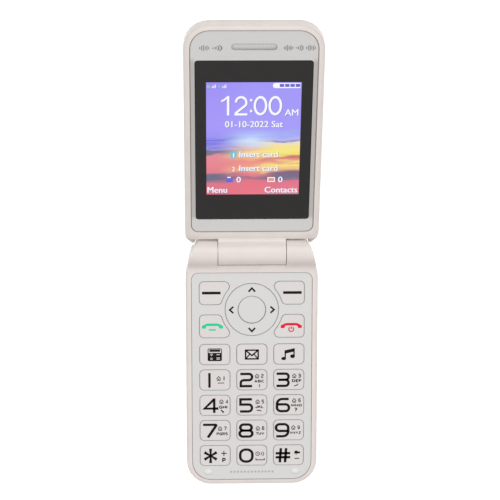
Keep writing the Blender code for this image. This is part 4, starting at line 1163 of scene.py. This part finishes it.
RIB_PITCH = 1.1
RIB_SHADOW = moulded("shaded_lacquer", "#bdb4ae", "#c5bcb6", 0.5, 1 * MM, IOR=1.5)
cover_low, cover_high = extent("battery_cover")
RIBS_FROM_EDGE = 9.0  # mm from the cover's upper edge to the middle of the ribs
ribs = [(bar(-6, i * RIB_PITCH - 0.2, 12, 0.4, 0.15), 0) for i in range(-3, 4)]
rib_place = facing_away(FLAT, 0, cover_high.y - RIBS_FROM_EDGE * MM, cover_low.z)
printed("cover_ribs", ribs, [RIB_SHADOW], rib_place, "cover")
print("lens", 2 * LENS_R, "mm across, and", len(ribs), "thumb ribs")

# %% [markdown]
# ## Display
# The display is a 2.4 inch liquid-crystal panel, bonded behind the window. It is bright, so what
# it shows hides any reflection. It could be a flat emitting plane, but the exported model keeps
# colours only on an ordinary shader, so the picture is the shader's patterned emission on a thin
# plate flush with the window. The picture is a dusk sky: a violet gradient above, then bands of
# pale blue, yellow and coral cloud. Three colour ramps, for the left, middle and right, run down
# the screen and are mixed across it, after noise stretched sideways has shifted the height.

# %% Dusk sky on the display
SIDE_BORDER, LOW_BORDER, HIGH_BORDER = 4.2, 11.3, 8.9  # mm of black round the lit area
lit_left = window_low.x / MM + SIDE_BORDER
lit_right = window_high.x / MM - SIDE_BORDER
lit_bottom = window_low.y / MM + LOW_BORDER
lit_top = window_high.y / MM - HIGH_BORDER
LIT_W, LIT_H = lit_right - lit_left, lit_top - lit_bottom
print("lit area in mm:", round(LIT_W, 2), round(LIT_H, 2))

SKY_LEFT = (
    (0.0, "#9f8ff8"), (0.4, "#a598fd"), (0.475, "#9a90f6"), (0.505, "#6862da"), (0.525, "#8a84f2"),
    (0.555, "#7d78e8"), (0.59, "#9a90ee"), (0.605, "#756c88"), (0.64, "#7f7290"), (0.655, "#e88a98"),
    (0.75, "#ea818c"), (0.8, "#d9788a"), (0.825, "#6d6884"), (0.89, "#6b6a88"), (0.915, "#dc7488"),
    (1.0, "#ea6c80"),
)
SKY_MIDDLE = (
    (0.0, "#a195fc"), (0.42, "#a7a0fb"), (0.49, "#b8cdfd"), (0.54, "#d6eafc"), (0.585, "#cfd4ee"),
    (0.61, "#f0c0a4"), (0.65, "#f8e08c"), (0.69, "#f6b488"), (0.71, "#f08e86"), (0.75, "#f29a86"),
    (0.78, "#f8e488"), (0.81, "#f4a084"), (0.835, "#e8788a"), (0.86, "#9c6c88"), (0.885, "#e26f7f"),
    (1.0, "#ee7384"),
)
SKY_RIGHT = (
    (0.0, "#a195fc"), (0.43, "#a49bfc"), (0.49, "#a5aefa"), (0.52, "#b9bbe8"), (0.535, "#7f79cc"),
    (0.55, "#efe4c8"), (0.59, "#fbe48a"), (0.66, "#f8ee78"), (0.69, "#f4d878"), (0.705, "#cc6c6a"),
    (0.73, "#f2a884"), (0.76, "#f8ee84"), (0.795, "#f0b080"), (0.815, "#80607f"), (0.87, "#6f6b88"),
    (0.895, "#e0708a"), (1.0, "#e8788c"),
)


UNLIT = rgb("#080808")


def sky_ramp(tree, stops, height):
    node = add(tree, "ValToRGB", Fac=height)
    elements = node.color_ramp.elements
    for place, code in stops[1:-1]:
        elements.new(place).color = rgb(code)
    elements[0].color = rgb(stops[0][1])
    elements[len(stops) - 1].color = rgb(stops[-1][1])
    return node.outputs["Color"]


def dusk_sky():
    """Ramps down the screen, mixed across it, over a height that noise has shifted."""
    material, tree, shader = start(
        "lit_liquid_crystal_display", Roughness=0.2, Emission_Strength=0.94
    )
    shader.inputs["Base Color"].default_value = UNLIT
    place = add(tree, "TexCoord").outputs["Generated"]
    split = add(tree, "SeparateXYZ", Vector=place)
    across, up = split.outputs["X"], split.outputs["Y"]
    height = calculate(tree, "MULTIPLY_ADD", across, 0.035, calculate(tree, "SUBTRACT", 1.0, up))
    for stretch, amount in (((1.8, 11.0, 1.0), 0.13), ((3.5, 38.0, 1.0), 0.05)):
        drawn_out = add(tree, "Mapping", Vector=place, Scale=stretch).outputs["Vector"]
        noise = add(tree, "TexNoise", Vector=drawn_out, Scale=1.0, Detail=3.0, Distortion=0.6)
        centred = calculate(tree, "SUBTRACT", noise.outputs["Fac"], 0.5)
        height = calculate(tree, "MULTIPLY_ADD", centred, amount, height)
    skies = (SKY_LEFT, SKY_MIDDLE, SKY_RIGHT)
    left, centre, right = (sky_ramp(tree, stops, height) for stops in skies)
    half = blended(tree, ease(tree, across, 0.08, 0.5), left, centre)
    whole = blended(tree, ease(tree, across, 0.45, 0.8), half, right)
    tree.links.new(whole, shader.inputs["Emission Color"])
    return material


def glowing(name, dark, light):
    """Lit letters and signs. The tone drifts as a back light's does, over some 5 mm."""
    material, tree, shader = start(name, Roughness=0.2, Emission_Strength=0.96)
    shader.inputs["Base Color"].default_value = UNLIT
    ramp = add(tree, "ValToRGB", Fac=speckle(tree, 5 * MM))
    stops = ramp.color_ramp.elements
    stops[0].color, stops[1].color = rgb(dark), rgb(light)
    tree.links.new(ramp.outputs["Color"], shader.inputs["Emission Color"])
    return material


PICTURE_UNDER, PICTURE_OVER = -0.02, 0.03  # mm from the window's face
picture_shape = bmesh.new()
whole_screen = bar(lit_left, lit_bottom, LIT_W, LIT_H)
lay(picture_shape, whole_screen, under=PICTURE_UNDER, over=PICTURE_OVER)
window_face = LID_PLACE @ Matrix.Translation((0, 0, window_high.z))
picture = piece("display_picture", picture_shape, [dusk_sky()], window_face, "lid")

# %% [markdown]
# ## What the display says
# A lock screen: the time, the date, two empty card places, two counters and the names of the two
# soft keys. Each group is lettering or bars laid just over the picture. Shares of the lit area,
# from its top left corner, place them.

# %% Clock, date, cards, counters and soft-key names


def screen_box(left, top, right, bottom):
    """(left, low, width, height) in mm from shares across and down the lit area."""
    return (
        lit_left + left * LIT_W,
        lit_top - bottom * LIT_H,
        (right - left) * LIT_W,
        (bottom - top) * LIT_H,
    )


WHITE_LIGHT, BLUE_LIGHT, CYAN_LIGHT, TAN_LIGHT, GREEN_LIGHT, SHADE = range(6)
SCREEN_LIGHTS = [
    glowing("lit_white", "#f4f4ff", "#ffffff"),
    glowing("lit_blue", "#5c58c8", "#6a66d6"),
    glowing("lit_cyan", "#62bccb", "#72cad6"),
    glowing("lit_tan", "#e0907c", "#e89c88"),
    glowing("lit_green", "#6fe06f", "#7fec7f"),
    glowing("lit_shade", "#5751ae", "#6560bc"),
]
SCREEN_WORDS = (
    ("AM", (0.83, 0.234, 0.972, 0.29), 0.12),
    ("01-10-2022 Sat", (0.2, 0.337, 0.812, 0.392), 0.14),
    ("Insert card", (0.355, 0.607, 0.765, 0.66), 0.14),
    ("Insert card", (0.355, 0.733, 0.765, 0.785), 0.14),
    ("0", (0.325, 0.838, 0.37, 0.89), 0.14),
    ("0", (0.775, 0.838, 0.82, 0.89), 0.14),
    ("Menu", (0.012, 0.931, 0.222, 0.985), 0.16),
    ("Contacts", (0.632, 0.931, 0.985, 0.985), 0.16),
)
SCREEN_BARS = (
    *(((x, 0.014, x + 0.047, 0.04), BLUE_LIGHT) for x in (0.77, 0.8255, 0.881, 0.9365)),
    ((0.012, 0.026, 0.034, 0.046), GREEN_LIGHT),
    ((0.128, 0.026, 0.148, 0.044), CYAN_LIGHT),
    ((0.258, 0.612, 0.325, 0.668), CYAN_LIGHT),
    ((0.258, 0.738, 0.325, 0.794), TAN_LIGHT),
    ((0.21, 0.848, 0.285, 0.888), BLUE_LIGHT),
    ((0.225, 0.838, 0.262, 0.85), WHITE_LIGHT),
    ((0.658, 0.842, 0.74, 0.886), WHITE_LIGHT),
    ((0.668, 0.85, 0.73, 0.878), TAN_LIGHT),
)
SHADOW = 0.16  # mm down and to the right of the letters
SIGN_UNDER = 0.02  # mm from the window's face, inside the picture
SHADE_OVER, WHITE_OVER, WORDS_OVER, COLOUR_OVER, FIGURE_OVER = 0.04, 0.045, 0.05, 0.055, 0.06


def clock_digits():
    """12:00 in thin even strokes, 7.75 mm tall until it is fitted to its box."""
    one = [line([(2.85, 0), (2.85, 7.75)], 1.0), line([(0.1, 5.6), (1.5, 6.4), (2.7, 7.45)], 0.75)]
    curve = [(6.0, 5.2), (6.0, 7.3, 2.05), (10.2, 7.3, 2.05), (10.2, 4.3, 0.9), (5.9, 0.9, 0.3)]
    two = [line([*curve, (5.9, 0.42), (10.7, 0.42)], 0.9)]
    colon = [plate(circle_at(12.15, y, 0.55, 12)) for y in (1.75, 6.1)]
    noughts = []
    for centre_x in (15.95, 21.95):
        oval = [(centre_x + 2.3 * x, 3.87 + 3.4 * y) for x, y in circle_at(0, 0, 1, 28)]
        noughts.append(line(oval, 0.95, closed=True))
    return together(*one, *two, *colon, *noughts)


screen_shape = bmesh.new()
case_left, case_low, case_width, case_height = screen_box(0.7, 0.006, 0.987, 0.05)
battery_case = [
    (case_left, case_low, 0.8), (case_left + case_width, case_low),
    (case_left + case_width, case_low + case_height), (case_left, case_low + case_height, 0.8),
]
lay(screen_shape, plate(battery_case), WHITE_LIGHT, SIGN_UNDER, WHITE_OVER)
for share_box, look in SCREEN_BARS:
    raised = WHITE_OVER if look == WHITE_LIGHT else COLOUR_OVER
    lay(screen_shape, bar(*screen_box(*share_box)), look, SIGN_UNDER, raised)
for aerial_x in (0.06, 0.17):
    for step in range(3):
        tall = 0.014 + 0.008 * step
        left = aerial_x + 0.016 * step
        share_box = (left, 0.048 - tall, left + 0.009, 0.048)
        lay(screen_shape, bar(*screen_box(*share_box)), WHITE_LIGHT, SIGN_UNDER, WHITE_OVER)
CLOCK_BOX = (0.155, 0.118, 0.8, 0.288)
screen_marks = [fitted(clock_digits(), *screen_box(*CLOCK_BOX))]
screen_marks += [lettering(words, *screen_box(*box), weight) for words, box, weight in SCREEN_WORDS]
for mark in screen_marks:
    lay(screen_shape, shifted(mark, SHADOW, -SHADOW), SHADE, SIGN_UNDER, SHADE_OVER)
    lay(screen_shape, mark, WHITE_LIGHT, SIGN_UNDER, WORDS_OVER)
for figure, left, right, top in (("1", 0.286, 0.297, 0.622), ("2", 0.277, 0.305, 0.748)):
    mark = lettering(figure, *screen_box(left, top, right, top + 0.038), 0.1)
    lay(screen_shape, mark, WHITE_LIGHT, WORDS_OVER, FIGURE_OVER)
screen_text = piece("display_signs", screen_shape, SCREEN_LIGHTS, window_face, "lid")
print(len(screen_marks), "groups of lettering and", len(SCREEN_BARS), "bars on the display")

# %% [markdown]
# ## Studio
# The telephone lies on a plain white sweep under soft light. The room is a pale dome, bright
# overhead and darker towards the horizon, so that the rounded rims darken at their edges. A wide
# soft box hangs beyond the lid, so that the barrel shades towards the keypad.

# %% Floor


def paper_floor():
    material, tree, shader = start("matt_white_paper", Roughness=0.9, Emission_Strength=0.5)
    fibre = speckle(tree, 4 * MM)
    tint(tree, shader, fibre, "#fbfbfb", "#ffffff")
    shader.inputs["Emission Color"].default_value = (1, 1, 1, 1)
    return material


floor_shape = bmesh.new()
FLOOR_HALF = 3.0
FLOOR_SINK = 0.05 * MM
bmesh.ops.create_grid(floor_shape, x_segments=8, y_segments=8, size=FLOOR_HALF)
floor_mesh = bpy.data.meshes.new("paper_floor")
floor_shape.to_mesh(floor_mesh)
floor_shape.free()
floor_mesh.materials.append(paper_floor())
floor = bpy.data.objects.new("paper_floor", floor_mesh)
bpy.context.scene.collection.objects.link(floor)
floor.location.z = cad_low.z - FLOOR_SINK
floor.visible_diffuse = False  # so that it doesn't light the rims from below
print("floor", 2 * FLOOR_HALF, "m wide, at", round(floor.location.z / MM, 2), "mm")

# %% Room and soft box
HORIZON, ZENITH = 0.32, 1.08  # strength of the light from the room
room = bpy.data.worlds.new("pale_room")
bpy.context.scene.world = room
room.use_nodes = True
room_tree = room.node_tree
direction = add(room_tree, "TexCoord").outputs["Generated"]
upward = add(room_tree, "SeparateXYZ", Vector=direction).outputs["Z"]
glow = add(room_tree, "MapRange", Value=upward, From_Min=0.0, To_Min=HORIZON, To_Max=ZENITH)
room_tree.links.new(glow.outputs["Result"], room_tree.nodes["Background"].inputs["Strength"])
room_tree.nodes["Background"].inputs["Color"].default_value = (1, 1, 1, 1)


def soft_box(name, place, size, power):
    """A round, wide light that faces the middle of the table."""
    data = bpy.data.lights.new(name, "AREA")
    data.shape = "DISK"
    data.size = size
    data.energy = power
    light = bpy.data.objects.new(name, data)
    bpy.context.scene.collection.objects.link(light)
    light.location = place
    light.rotation_euler = (-Vector(place)).to_track_quat("-Z", "Y").to_euler()


SOFT_BOX_AT, SOFT_BOX_SIZE, SOFT_BOX_WATTS = (0, 0.6, 0.75), 0.8, 2.0
soft_box("key_soft_box", SOFT_BOX_AT, SOFT_BOX_SIZE, SOFT_BOX_WATTS)
print("soft box of", SOFT_BOX_SIZE, "m at", SOFT_BOX_AT)

# %% Bring the scene up to date
bpy.context.view_layer.update()
